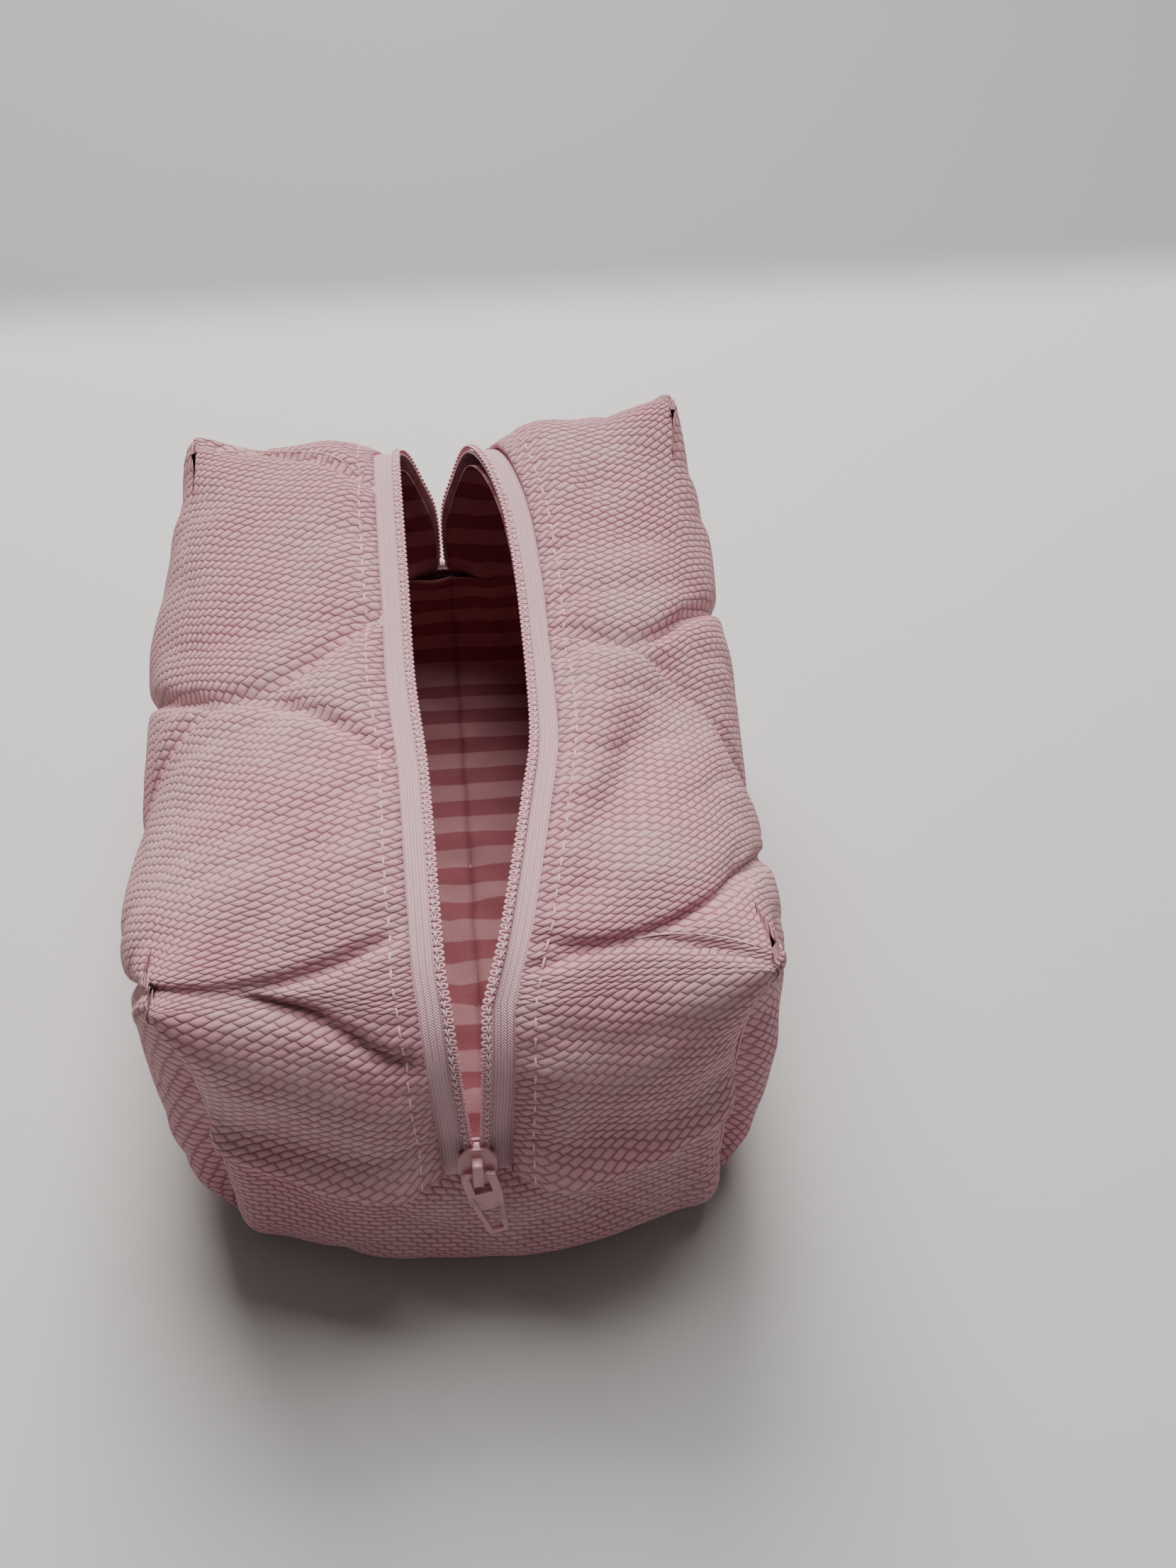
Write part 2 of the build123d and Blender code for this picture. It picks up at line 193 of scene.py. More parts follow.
@dataclass(frozen=True)
class BasketweaveCloth:
    """Brushed cotton in a plump basketweave: soft raised floats, painted shade in the gaps, a dusty sheen.

    Sizes are millimetres, and scales are per millimetre.
    """

    float_length: float = 3.3
    float_width: float = 1.8
    relief: float = 0.72
    slant: float = 0.22
    plumpness: float = 0.4
    wander_scale: float = 0.16
    wander: float = 1.2
    fibre_scale: float = 2.6
    fibre_stretch: float = 3.2
    fibre_lift: float = 0.28
    tint_lift: float = 0.10
    patch_scale: float = 0.03
    crown: str = "EAABB7"
    # gap: the crown colour darkened, as painted shade between the floats.
    gap: str = "BA7C88"
    worn: str = "E8C9C4"
    dust: str = "F6DDE0"

    def weave(
        self, tree: bpy.types.NodeTree, uv: bpy.types.Node
    ) -> tuple[bpy.types.Node, bpy.types.Node]:
        """Draws the floats, in rows that wander a little, each row half a float along from the last.

        Args:
            tree: the material's node tree.
            uv: the cloth's flat place in millimetres.

        Returns:
            The height of the floats, and a random number for each float.
        """
        split = add(tree, "SeparateXYZ", Vector=uv)
        wobble = add(tree, "TexNoise", Vector=uv, Scale=self.wander_scale, Detail=2.0)
        bent = add(tree, "Math", {"operation": "MULTIPLY_ADD"}, i0=wobble, i1=self.wander, i2=0.5)
        across = add(tree, "Math", ADD, i0=split.outputs[0], i1=bent)
        along = add(tree, "Math", ADD, i0=split.outputs[1], i1=bent)
        rows = add(tree, "Math", DIVIDE, i0=along, i1=self.float_width)
        row = add(tree, "Math", FLOOR, i0=rows)
        in_row = add(tree, "Math", FRACT, i0=rows)
        odd = add(tree, "Math", MODULO, i0=row, i1=2.0)
        shift = add(tree, "Math", MULTIPLY, i0=odd, i1=0.5)
        skew = add(tree, "Math", MULTIPLY, i0=in_row, i1=self.slant)
        floats = add(tree, "Math", DIVIDE, i0=across, i1=self.float_length)
        shifted = add(tree, "Math", ADD, i0=floats, i1=shift)
        columns = add(tree, "Math", ADD, i0=shifted, i1=skew)
        column = add(tree, "Math", FLOOR, i0=columns)
        in_column = add(tree, "Math", FRACT, i0=columns)
        arches = []
        for share in (in_row, in_column):
            angle = add(tree, "Math", MULTIPLY, i0=share, i1=pi)
            arches.append(add(tree, "Math", SINE, i0=angle))
        hump = add(tree, "Math", MULTIPLY, i0=arches[0], i1=arches[1])
        plump = add(tree, "Math", {"operation": "POWER"}, i0=hump, i1=self.plumpness)
        cell = add(tree, "CombineXYZ", X=column, Y=row)
        return plump, add(tree, "TexWhiteNoise", {"noise_dimensions": "2D"}, Vector=cell)

    def build(self) -> bpy.types.Material:
        """Makes the material on the piece's own UV map, laid out in millimetres."""
        material, tree = new_material("brushed_basketweave_cotton")
        uv = add(tree, "UVMap", {"uv_map": "cloth"})
        plump, tint = self.weave(tree, uv)
        stretched = add(tree, "Mapping", Vector=uv, Scale=(1.0, self.fibre_stretch, 1.0))
        fibre = add(
            tree, "TexNoise", Vector=stretched, Scale=self.fibre_scale, Detail=4.0, Roughness=0.7
        )
        fibres = add(tree, "Math", MULTIPLY, i0=fibre, i1=self.fibre_lift)
        raised = add(tree, "Math", ADD, i0=plump, i1=fibres)
        uneven = add(tree, "Math", MULTIPLY, i0=tint, i1=self.tint_lift)
        lift = add(tree, "Math", ADD, i0=raised, i1=uneven)
        # Painted shade: the gaps between floats are coloured darker than the crowns, following the floats'
        # height.
        gap_shade_mask = add(tree, "MapRange", Value=plump, From_Min=0.3, From_Max=0.8)
        dyed = add(tree, "Mix", COLOURS, Factor=gap_shade_mask, i6=linear(self.gap), i7=linear(self.crown))
        # Handling pales the crowns in patches, a little more on some floats than on others.
        patches = add(tree, "TexNoise", Vector=uv, Scale=self.patch_scale, Detail=3.0)
        zone = add(tree, "MapRange", Value=patches, From_Min=0.38, From_Max=0.62)
        spread = add(tree, "Math", MULTIPLY, i0=tint, i1=0.45)
        paled = add(tree, "Math", ADD, i0=spread, i1=0.12)
        aged = add(tree, "Math", MULTIPLY, i0=paled, i1=zone)
        toned = add(tree, "Mix", COLOURS, Factor=aged, i6=dyed.outputs[2], i7=linear(self.worn))
        shade = add(
            tree, "MapRange", Value=fibre, From_Min=0.3, From_Max=0.7, To_Min=0.93, To_Max=1.05
        )
        shaded = add(tree, "HueSaturation", Color=toned.outputs[2], Value=shade)
        bump = add(tree, "Bump", Height=lift, Strength=1.0, Distance=self.relief * MM)
        # Brushed cotton: its fibre ends scatter light, so it looks dusty and shows no highlight.
        finish_material(
            tree, Base_Color=shaded, Roughness=0.92, Normal=bump,
            Sheen_Weight=0.15, Sheen_Roughness=0.5, Sheen_Tint=linear(self.dust),
        )
        return material


@dataclass(frozen=True)
class StripedLining:
    """Thin printed cotton, darkened as painted shade: crosswise stripes with soft edges, a fine plain weave
    and little gloss.

    Sizes are millimetres. The threads are drawn a little coarser than real ones, so that they show.
    """

    period: float = 13.0
    thread: float = 0.55
    edge_softness: float = 0.12
    speckle_scale: float = 1.4
    # Both stripe colours are darker than the cloth's own: painted shade for the inside of the bag.
    light: str = "D0949A"
    deep: str = "AE626C"

    def build(self) -> bpy.types.Material:
        """Makes the material; the stripes follow the UV map's second axis."""
        material, tree = new_material("printed_stripe_cotton")
        uv = add(tree, "UVMap", {"uv_map": "cloth"})
        split = add(tree, "SeparateXYZ", Vector=uv)
        turns = add(tree, "Math", MULTIPLY, i0=split.outputs[1], i1=2 * pi / self.period)
        wave = add(tree, "Math", SINE, i0=turns)
        soft = self.edge_softness
        edge = add(tree, "MapRange", Value=wave, From_Min=-soft, From_Max=soft)
        threads = []
        for way in (split.outputs[0], split.outputs[1]):
            angle = add(tree, "Math", MULTIPLY, i0=way, i1=2 * pi / self.thread)
            threads.append(add(tree, "Math", SINE, i0=angle))
        weave = add(tree, "Math", MULTIPLY, i0=threads[0], i1=threads[1])
        speckle = add(tree, "TexNoise", Vector=uv, Scale=self.speckle_scale, Detail=3.0)
        # Painted shade: the printed stripes in colours darkened for the shade inside the bag.
        shaded_stripe = add(tree, "Mix", COLOURS, Factor=edge, i6=linear(self.deep), i7=linear(self.light))
        shade = add(
            tree, "MapRange", Value=speckle, From_Min=0.3, From_Max=0.7, To_Min=0.92, To_Max=1.06
        )
        printed = add(tree, "HueSaturation", Color=shaded_stripe.outputs[2], Value=shade)
        woven = add(tree, "Math", MULTIPLY, i0=weave, i1=0.3)
        height = add(tree, "Math", ADD, i0=woven, i1=speckle)
        bump = add(tree, "Bump", Height=height, Strength=0.5, Distance=0.15 * MM)
        # Plain cotton: matt, with the faint bloom of its loose fibres.
        finish_material(
            tree, Base_Color=printed, Roughness=0.8, Normal=bump, Sheen_Weight=0.1, Sheen_Roughness=0.5,
        )
        return material


@dataclass(frozen=True)
class RibbedTape:
    """Woven polyester zip tape: fine lengthwise ribs in a herringbone, with a satin shine and painted shade
    between the threads.

    Sizes are millimetres. The herringbone is drawn coarser than the real one, so that it shows.
    """

    rib: float = 0.75
    pick: float = 0.62
    lean: float = 0.8
    pick_lift: float = 0.45
    thread: str = "F6CFD8"
    # between: the thread colour darkened, as painted shade in the grooves between threads.
    between: str = "E0A9B7"

    def build(self) -> bpy.types.Material:
        """Makes the material; the ribs run along the UV map's second axis."""
        material, tree = new_material("woven_polyester_tape")
        uv = add(tree, "UVMap", {"uv_map": "cloth"})
        split = add(tree, "SeparateXYZ", Vector=uv)
        ribs = add(tree, "Math", DIVIDE, i0=split.outputs[0], i1=self.rib)
        column = add(tree, "Math", FLOOR, i0=ribs)
        odd = add(tree, "Math", MODULO, i0=column, i1=2.0)
        doubled = add(tree, "Math", MULTIPLY, i0=odd, i1=2.0)
        way = add(tree, "Math", SUBTRACT, i0=doubled, i1=1.0)
        leaning = add(tree, "Math", MULTIPLY, i0=split.outputs[0], i1=way)
        slant = add(tree, "Math", MULTIPLY, i0=leaning, i1=self.lean)
        place = add(tree, "Math", ADD, i0=split.outputs[1], i1=slant)
        turns = add(tree, "Math", MULTIPLY, i0=place, i1=2 * pi / self.pick)
        picks = add(tree, "Math", SINE, i0=turns)
        in_rib = add(tree, "Math", FRACT, i0=ribs)
        half_turn = add(tree, "Math", MULTIPLY, i0=in_rib, i1=pi)
        crown = add(tree, "Math", SINE, i0=half_turn)
        raised = add(tree, "Math", MULTIPLY, i0=picks, i1=self.pick_lift)
        relief = add(tree, "Math", ADD, i0=raised, i1=crown)
        # Painted shade: the grooves between threads are coloured darker than the threads, following the
        # weave's height.
        share = add(tree, "MapRange", Value=relief, From_Min=-0.2, From_Max=1.1)
        tone = add(tree, "Mix", COLOURS, Factor=share, i6=linear(self.between), i7=linear(self.thread))
        bump = add(tree, "Bump", Height=relief, Strength=0.8, Distance=0.2 * MM)
        # Filament polyester: smooth threads that give satin lines of light.
        finish_material(
            tree, Base_Color=tone.outputs[2], Roughness=0.5, Normal=bump,
            Sheen_Weight=0.3, Sheen_Roughness=0.3, Specular_IOR_Level=0.6,
        )
        return material


@dataclass(frozen=True)
class NylonCoil:
    """Dyed nylon monofilament: slightly see-through, smooth, brighter at its bends."""

    body: str = "EBB9C2"
    cloud_scale: float = 900.0

    def build(self) -> bpy.types.Material:
        """Makes the material, with a faint cloudiness on Object coordinates."""
        material, tree = new_material("dyed_nylon_monofilament")
        place = add(tree, "TexCoord").outputs["Object"]
        cloud = add(tree, "TexNoise", Vector=place, Scale=self.cloud_scale, Detail=2.0)
        shade = add(
            tree, "MapRange", Value=cloud, From_Min=0.3, From_Max=0.7, To_Min=0.9, To_Max=1.08
        )
        dyed = add(tree, "HueSaturation", Color=linear(self.body), Value=shade)
        # Nylon: light goes a little way in, so the wire glows softly and its highlights are narrow.
        finish_material(
            tree, Base_Color=dyed, Roughness=0.32, IOR=1.53,
            Subsurface_Weight=0.35, Subsurface_Radius=(0.9 * MM, 0.45 * MM, 0.45 * MM),
            Subsurface_Scale=1.0,
        )
        return material


@dataclass(frozen=True)
class SpunThread:
    """Spun polyester sewing thread: a twisted strand with a soft shine."""

    name: str = "spun_polyester_thread"
    strand: str = "F2CDD3"
    twist: float = 0.5

    def build(self) -> bpy.types.Material:
        """Makes the material, its twist drawn by a slanting wave on Object coordinates."""
        material, tree = new_material(self.name)
        place = add(tree, "TexCoord").outputs["Object"]
        slanted = add(tree, "Mapping", Vector=place, Rotation=(0.4, 0.3, 0.7))
        wave = add(
            tree, "TexWave", Vector=slanted, Scale=1 / (self.twist * MM) / 3, Distortion=2.0
        ).outputs[1]
        shade = add(tree, "MapRange", Value=wave, To_Min=0.86, To_Max=1.05)
        dyed = add(tree, "HueSaturation", Color=linear(self.strand), Value=shade)
        bump = add(tree, "Bump", Height=wave, Strength=0.5, Distance=0.06 * MM)
        # Twisted staple fibre: small ridges with a soft, slightly hairy shine.
        finish_material(tree, Base_Color=dyed, Roughness=0.6, Normal=bump, Sheen_Weight=0.25)
        return material


@dataclass(frozen=True)
class PaintedCasting:
    """Satin enamel baked on a zinc casting: smooth, faintly orange-peeled, rubbed in places."""

    name: str = "satin_enamel_on_zinc"
    paint: str = "D9A0A6"
    worn: str = "C48E90"
    peel_scale: float = 1500.0
    rub_scale: float = 260.0

    def build(self) -> bpy.types.Material:
        """Makes the material on Object coordinates."""
        material, tree = new_material(self.name)
        place = add(tree, "TexCoord").outputs["Object"]
        peel = add(tree, "TexNoise", Vector=place, Scale=self.peel_scale, Detail=2.0)
        rub = add(tree, "TexNoise", Vector=place, Scale=self.rub_scale, Detail=4.0)
        share = add(tree, "MapRange", Value=rub, From_Min=0.52, From_Max=0.72)
        tone = add(tree, "Mix", COLOURS, Factor=share, i6=linear(self.paint), i7=linear(self.worn))
        rough = add(
            tree, "MapRange", Value=rub, From_Min=0.3, From_Max=0.7, To_Min=0.28, To_Max=0.42
        )
        bump = add(tree, "Bump", Height=peel, Strength=0.25, Distance=0.05 * MM)
        # Baked enamel: an even colour under a thin clear skin, with soft bright edges.
        finish_material(
            tree, Base_Color=tone.outputs[2], Roughness=rough, Normal=bump,
            Coat_Weight=0.35, Coat_Roughness=0.2,
        )
        return material


@dataclass(frozen=True)
class Fleece:
    """White polyester wadding: matted fibres with no shine."""

    shadow: str = "DDD8D6"
    fibre: str = "F7F5F3"
    fibre_scale: float = 700.0

    def build(self) -> bpy.types.Material:
        """Makes the material on Object coordinates."""
        material, tree = new_material("polyester_fleece_wadding")
        place = add(tree, "TexCoord").outputs["Object"]
        fibres = add(
            tree, "TexNoise", Vector=place, Scale=self.fibre_scale, Detail=5.0, Distortion=1.5
        )
        tone = add(tree, "Mix", COLOURS, Factor=fibres, i6=linear(self.shadow), i7=linear(self.fibre))
        bump = add(tree, "Bump", Height=fibres, Strength=0.8, Distance=0.5 * MM)
        # Fleece: a matted white mass that takes no highlight.
        finish_material(tree, Base_Color=tone.outputs[2], Roughness=0.95, Normal=bump)
        return material


@dataclass(frozen=True)
class MattePaper:
    """Studio paper, pale grey and even, with painted shade towards the back of the table for the shaded
    backdrop.
    """

    tone: str = "DDDEDD"
    painted_back_shade: str = "9F9F9F"
    back_start: float = 0.285
    back_end: float = 0.335
    cloud_scale: float = 3.0

    def build(self) -> bpy.types.Material:
        """Makes the material with a barely uneven tone and the painted shade at the back."""
        material, tree = new_material("studio_paper")
        place = add(tree, "TexCoord").outputs["Object"]
        lengthwise = add(tree, "SeparateXYZ", Vector=place).outputs[1]
        # Painted shade: the paper darkens towards the back, standing for the shade on the backdrop behind
        # the table.
        back = add(
            tree, "MapRange", {"interpolation_type": "SMOOTHSTEP"}, Value=lengthwise,
            From_Min=self.back_start, From_Max=self.back_end,
        )
        tone = add(
            tree, "Mix", COLOURS, Factor=back, i6=linear(self.tone), i7=linear(self.painted_back_shade)
        )
        cloud = add(tree, "TexNoise", Vector=place, Scale=self.cloud_scale, Detail=3.0)
        shade = add(
            tree, "MapRange", Value=cloud, From_Min=0.3, From_Max=0.7, To_Min=0.985, To_Max=1.015
        )
        shaded = add(tree, "HueSaturation", Color=tone.outputs[2], Value=shade)
        # Uncoated paper: matt and even, so that the bag's soft shadow shows on it; the darker band at the
        # back is painted shade.
        finish_material(tree, Base_Color=shaded, Roughness=0.7)
        return material


# ---- the soft form -----------------------------------------------------------------------
class End(Enum):
    """The two ends of the bag."""

    NEAR = -1
    FAR = 1


class Side(Enum):
    """The two halves beside the zip."""

    LEFT = -1
    RIGHT = 1


@dataclass(frozen=True)
class Ear:
    """How far a boxed top corner stands out from the form, in millimetres."""

    across: float
    along: float
    up: float


@dataclass
class BagForm:
    """Soft boxed shape, on which every sewn piece lies.

    A place on it is (a, b, c), from -1 to 1 across, lengthwise and upwards, on the faces of a cube.
    Each square is a power by which a section's corners are rounded, and a higher one is squarer.
    """

    corner_length: float = 91.0
    corner_width: float = 62.5
    height: float = 100.0
    fullness: float = 13.0
    side_bulge: float = 6.0
    near_bulge: float = 19.0
    far_bulge: float = 8.0
    bulge_power: float = 0.75
    near_reach: float = 110.0
    left_swell: float = 0.9
    right_swell: float = 0.7
    end_section_square: float = 9.0
    middle_section_square: float = 3.7
    near_top_square: float = 3.9
    end_square: float = 8.0
    corner_square: float = 14.0
    hollow_width: float = 22.0
    middle_y: float = field(init=False)

    near_left_ear: Ear = Ear(6.0, 2.0, 8.0)
    near_right_ear: Ear = Ear(6.5, 2.0, 8.0)
    far_left_ear: Ear = Ear(6.0, 4.0, 6.0)
    far_right_ear: Ear = Ear(6.5, 4.0, 13.0)
    top_line: Curve = Curve(
        (-1.0, -0.7, -0.3, 0.1, 0.5, 0.85, 1.0),
        (2.5, 1.5, -0.5, -1.8, 1.0, 4.5, 5.0),
    )
    zip_hollow: Curve = Curve(
        (-1.0, -0.2, 0.0, 0.2, 0.45, 0.7, 0.9, 1.0),
        (0.0, 0.0, 1.2, 4.2, 5.0, 3.0, 1.0, 0.0),
    )

    def __post_init__(self) -> None:
        """Finds the bag's middle from where the cloth starts in the frame."""
        self.middle_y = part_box("outer_cloth")[0][1] / MM + self.near_reach

    def place(self, spot: Vector) -> Vector:
        """Millimetres about the bag's middle, as metres in the row frame."""
        return Vector((spot.x, spot.y + self.middle_y, spot.z)) * MM

    def width(self, b: float, c: float, share: float = 1.0) -> float:
        """Half the bag's width at a place along it and up it, with a share of its swell.

        Args:
            b: lengthwise, -1 to 1.
            c: upwards, -1 to 1.
            share: of the swell, 0 to 1.

        Returns:
            Half the width in millimetres.
        """
        along = min(1.0, abs(b))
        crown = 1 - along ** mix(6.0, 2.0, c * c)
        return self.corner_width + share * crown * (self.fullness + self.side_bulge * (1 - c * c))

    @staticmethod
    def rounding(p: float, q: float, power: float) -> float:
        """How far a point on a square is drawn in, to round the square's corners."""
        return (abs(p) ** power + abs(q) ** power) ** (-1 / power)

    def point(self, a: float, b: float, c: float, lift: float = 0.0) -> Vector:
        """Point of the soft form.

        Args:
            a: across, -1 to 1.
            b: lengthwise, -1 at the slider end.
            c: upwards, -1 at the base.
            lift: how far outwards from the form, negative inwards.

        Returns:
            The point about the bag's middle, in millimetres.
        """
        belly = (1 - b * b) ** 0.7
        section = 1.0
        if abs(b) < 1 or abs(a) > 0:
            power = mix(self.end_section_square, self.middle_section_square, belly)
            section = min(1.0, self.rounding(a, c, power))
        crosswise = self.near_top_square if b < 0 and c > 0 else self.end_square
        ends = min(1.0, self.rounding(b, c, mix(crosswise, self.corner_square, abs(a) ** 6)))
        across, along, up = a * section, b * ends, c * section * ends
        width = self.width(along, up, self.left_swell if a < 0 else self.right_swell)
        x = across * (width + lift)
        bulge = self.near_bulge if b < 0 else self.far_bulge
        length = self.corner_length + bulge * max(0.0, 1 - across * across) ** self.bulge_power + lift
        y = along * length
        if b < 0:
            y += self.zip_hollow.at(up) * hill(x, self.hollow_width) * abs(along) ** 4
        rise = self.height / 2
        z = rise + up * (rise + lift) + self.top_line.at(along) * max(0.0, up) ** 3
        ear_x, ear_y, ear_z = self.ear_at(a, b, c)
        return Vector((x + ear_x, y + ear_y, max(z + ear_z, max(0.0, -lift))))

    def ear_at(self, a: float, b: float, c: float) -> tuple[float, float, float]:
        """How far a place is drawn out into the point of the nearest boxed corner.

        Args:
            a: across, -1 to 1.
            b: lengthwise, -1 to 1.
            c: upwards, -1 to 1.

        Returns:
            The way out across, lengthwise and upwards, in millimetres.
        """
        left, near = a < 0, b < 0
        if near:
            ear = self.near_left_ear if left else self.near_right_ear
        else:
            ear = self.far_left_ear if left else self.far_right_ear
        gap = sqrt((1 - abs(a)) ** 2 + (1 - abs(b)) ** 2 + (1 - c) ** 2)
        weight = 0.6 * hill(gap, 0.22) + 0.4 * hill(gap, 0.6)
        across, along = (-ear.across if left else ear.across), (-ear.along if near else ear.along)
        return across * weight, along * weight, ear.up * weight


@dataclass
class Mouth:
    """Route of the zip: up the near end, along the top and down the far end.

    The route's distances are millimetres from the near end seam.
    """

    form: BagForm
    seam: float = -0.03
    seam_rise: float = 0.12
    coil_width: float = 2.4
    tape_lift: float = -2.6
    steps: int = 700
    spots: list[tuple[float, float]] = field(init=False, default_factory=list)
    distances: list[float] = field(init=False, default_factory=list)

    right_top: Curve = Curve(
        (-1.0, -0.9, -0.76, -0.58, -0.34, -0.19, -0.04, 0.19, 0.43, 0.67, 1.0),
        (3.2, 4.8, 7.7, 11.4, 16.6, 19.8, 20.8, 20.7, 19.8, 17.2, 9.6),
    )
    left_top: Curve = Curve(
        (-1.0, -0.86, -0.67, -0.25, 0.04, 0.38, 1.0),
        (2.7, 3.8, 4.4, 5.8, 8.2, 8.8, 10.3),
    )
    near_end: Curve = Curve((-0.08, 0.2, 0.45, 0.7, 1.0), (0.25, 0.8, 1.5, 2.1, 3.0))
    far_end: Curve = Curve((-0.08, 0.4, 0.7, 1.0), (0.25, 0.6, 5.2, 10.0))

    def __post_init__(self) -> None:
        """Measures the route once."""
        rise = 1 - self.seam
        total = 2 * rise + 2
        for i in range(self.steps + 1):
            way = total * i / self.steps
            if way < rise:
                self.spots.append((-1.0, self.seam + way))
            elif way < rise + 2:
                self.spots.append((way - rise - 1, 1.0))
            else:
                self.spots.append((1.0, 1 - (way - rise - 2)))
        middle = [self.form.point(0.0, b, c, self.tape_lift) for b, c in self.spots]
        self.distances.append(0.0)
        for before, after in zip(middle, middle[1:]):
            self.distances.append(self.distances[-1] + (after - before).length)

    def seam_at(self, a: float) -> float:
        """Cube coordinate c of the end seams, which climb a little towards the corners."""
        return self.seam + self.seam_rise * a * a

    @property
    def length(self) -> float:
        """Whole length of the route."""
        return self.distances[-1]

    def inner_edge(self, side: Side, b: float, c: float) -> float:
        """How far the coil's inner edge is from the middle, in millimetres.

        Args:
            side: the half of the zip.
            b: lengthwise, -1 to 1.
            c: upwards, 1 along the top.

        Returns:
            The distance from the middle of the bag.
        """
        if c < 1:
            return (self.near_end if b < 0 else self.far_end).at(c)
        curve = self.left_top if side is Side.LEFT else self.right_top
        near, far = self.near_end.at(1.0), self.far_end.at(1.0)
        start, end = curve.at(-1.0), curve.at(1.0)
        return curve.at(b) + (near - start) * max(0.0, -b) ** 12 + (far - end) * max(0.0, b) ** 12

    def across(self, side: Side, b: float, c: float, outward: float) -> float:
        """Cube coordinate a of a place some way outwards from the coil's inner edge.

        Args:
            side: the half of the zip.
            b: lengthwise, -1 to 1.
            c: upwards, 1 along the top.
            outward: millimetres from the coil's inner edge.

        Returns:
            The coordinate across, with its sign.
        """
        ends = min(1.0, self.form.rounding(b, c, 4.0))
        x = self.inner_edge(side, b, c) + outward
        return side.value * x / self.form.width(b * ends, c * ends)

    def spot_at(self, distance: float) -> tuple[float, float]:
        """Cube coordinates b and c at a distance along the route.

        Args:
            distance: millimetres from the near end seam.

        Returns:
            The two coordinates.
        """
        distance = min(max(distance, 0.0), self.length)
        low, high = 0, len(self.distances) - 1
        while high - low > 1:
            half = (low + high) // 2
            if self.distances[half] <= distance:
                low = half
            else:
                high = half
        share = (distance - self.distances[low]) / max(1e-9, self.distances[high] - self.distances[low])
        return (
            mix(self.spots[low][0], self.spots[high][0], share),
            mix(self.spots[low][1], self.spots[high][1], share),
        )

    def at(self, side: Side, distance: float, outward: float, lift: float) -> Vector:
        """Point beside the route.

        Args:
            side: the half of the zip.
            distance: millimetres along the route.
            outward: millimetres from the coil's inner edge towards the cloth.
            lift: millimetres above the tape.

        Returns:
            The point about the bag's middle, in millimetres.
        """
        b, c = self.spot_at(distance)
        return self.form.point(self.across(side, b, c, outward), b, c, self.tape_lift + lift)

    def turn(self, side: Side, distance: float, outward: float, lift: float) -> Matrix:
        """Placing matrix beside the route: X outwards to the cloth, Y along the zip, Z off the tape.

        Args:
            side: the half of the zip.
            distance: millimetres along the route.
            outward: millimetres from the coil's inner edge.
            lift: millimetres above the tape.

        Returns:
            The matrix, in millimetres about the bag's middle.
        """
        here, step = self.at(side, distance, outward, lift), 0.7
        ahead = self.at(side, distance + step, outward, lift)
        ahead -= self.at(side, distance - step, outward, lift)
        beside = self.at(side, distance, outward + step, lift)
        beside -= self.at(side, distance, outward - step, lift)
        ahead.normalize()
        off = beside.cross(ahead) * side.value
        off.normalize()
        beside = ahead.cross(off) * side.value
        turned = Matrix((beside, ahead, off)).transposed().to_4x4()
        turned.translation = here
        return turned


# ---- mesh building -----------------------------------------------------------------------
def new_piece(
    name: str, bm: bmesh.types.BMesh, form: BagForm, material: bpy.types.Material
) -> bpy.types.Object:
    """Makes an object of a bmesh that is in millimetres about the bag's middle.

    Args:
        name: the piece's name.
        bm: its mesh, freed here.
        form: the bag's form, which places it in the row frame.
        material: its finish.

    Returns:
        The object, smooth shaded, at the origin.
    """
    for vert in bm.verts:
        vert.co = form.place(vert.co)
    mesh = bpy.data.meshes.new(name)
    bm.to_mesh(mesh)
    bm.free()
    mesh.shade_smooth()
    mesh.materials.append(material)
    piece = bpy.data.objects.new(name, mesh)
    bpy.context.scene.collection.objects.link(piece)
    return piece


def stamp(bm: bmesh.types.BMesh, shape: bpy.types.Mesh, placing: Matrix) -> None:
    """Adds a turned copy of a small shape to a bmesh.

    Args:
        bm: receives the copy.
        shape: the small mesh.
        placing: turns and moves it.
    """
    before = len(bm.verts)
    bm.from_mesh(shape)
    bm.verts.ensure_lookup_table()
    bmesh.ops.transform(bm, matrix=placing, verts=bm.verts[before:])


def stitch_shape(length: float, thickness: float, dip: float) -> bpy.types.Mesh:
    """One sewn stitch: a short strand along Y that dives into the cloth at both ends.

    Args:
        length: from hole to hole.
        thickness: of the strand.
        dip: how far its ends go below its middle.

    Returns:
        The mesh, a bent six-sided tube.
    """
    bm = bmesh.new()
    rings, dive, taper = 7, 3.5, 0.35
    bmesh.ops.create_cone(
        bm, cap_ends=True, segments=6, radius1=thickness / 2, radius2=thickness / 2, depth=length,
        matrix=Matrix.Rotation(pi / 2, 4, "X"),
    )
    long_edges = [e for e in bm.edges if abs(e.verts[0].co.y - e.verts[1].co.y) > length / 2]
    bmesh.ops.subdivide_edges(bm, edges=long_edges, cuts=rings - 2)
    for vert in bm.verts:
        share = abs(vert.co.y) / (length / 2)
        vert.co.z -= dip * share**dive
        vert.co.x *= 1 - taper * share**4
    bmesh.ops.recalc_face_normals(bm, faces=bm.faces)
    mesh = bpy.data.meshes.new("stitch_shape")
    bm.to_mesh(mesh)
    bm.free()
    return mesh


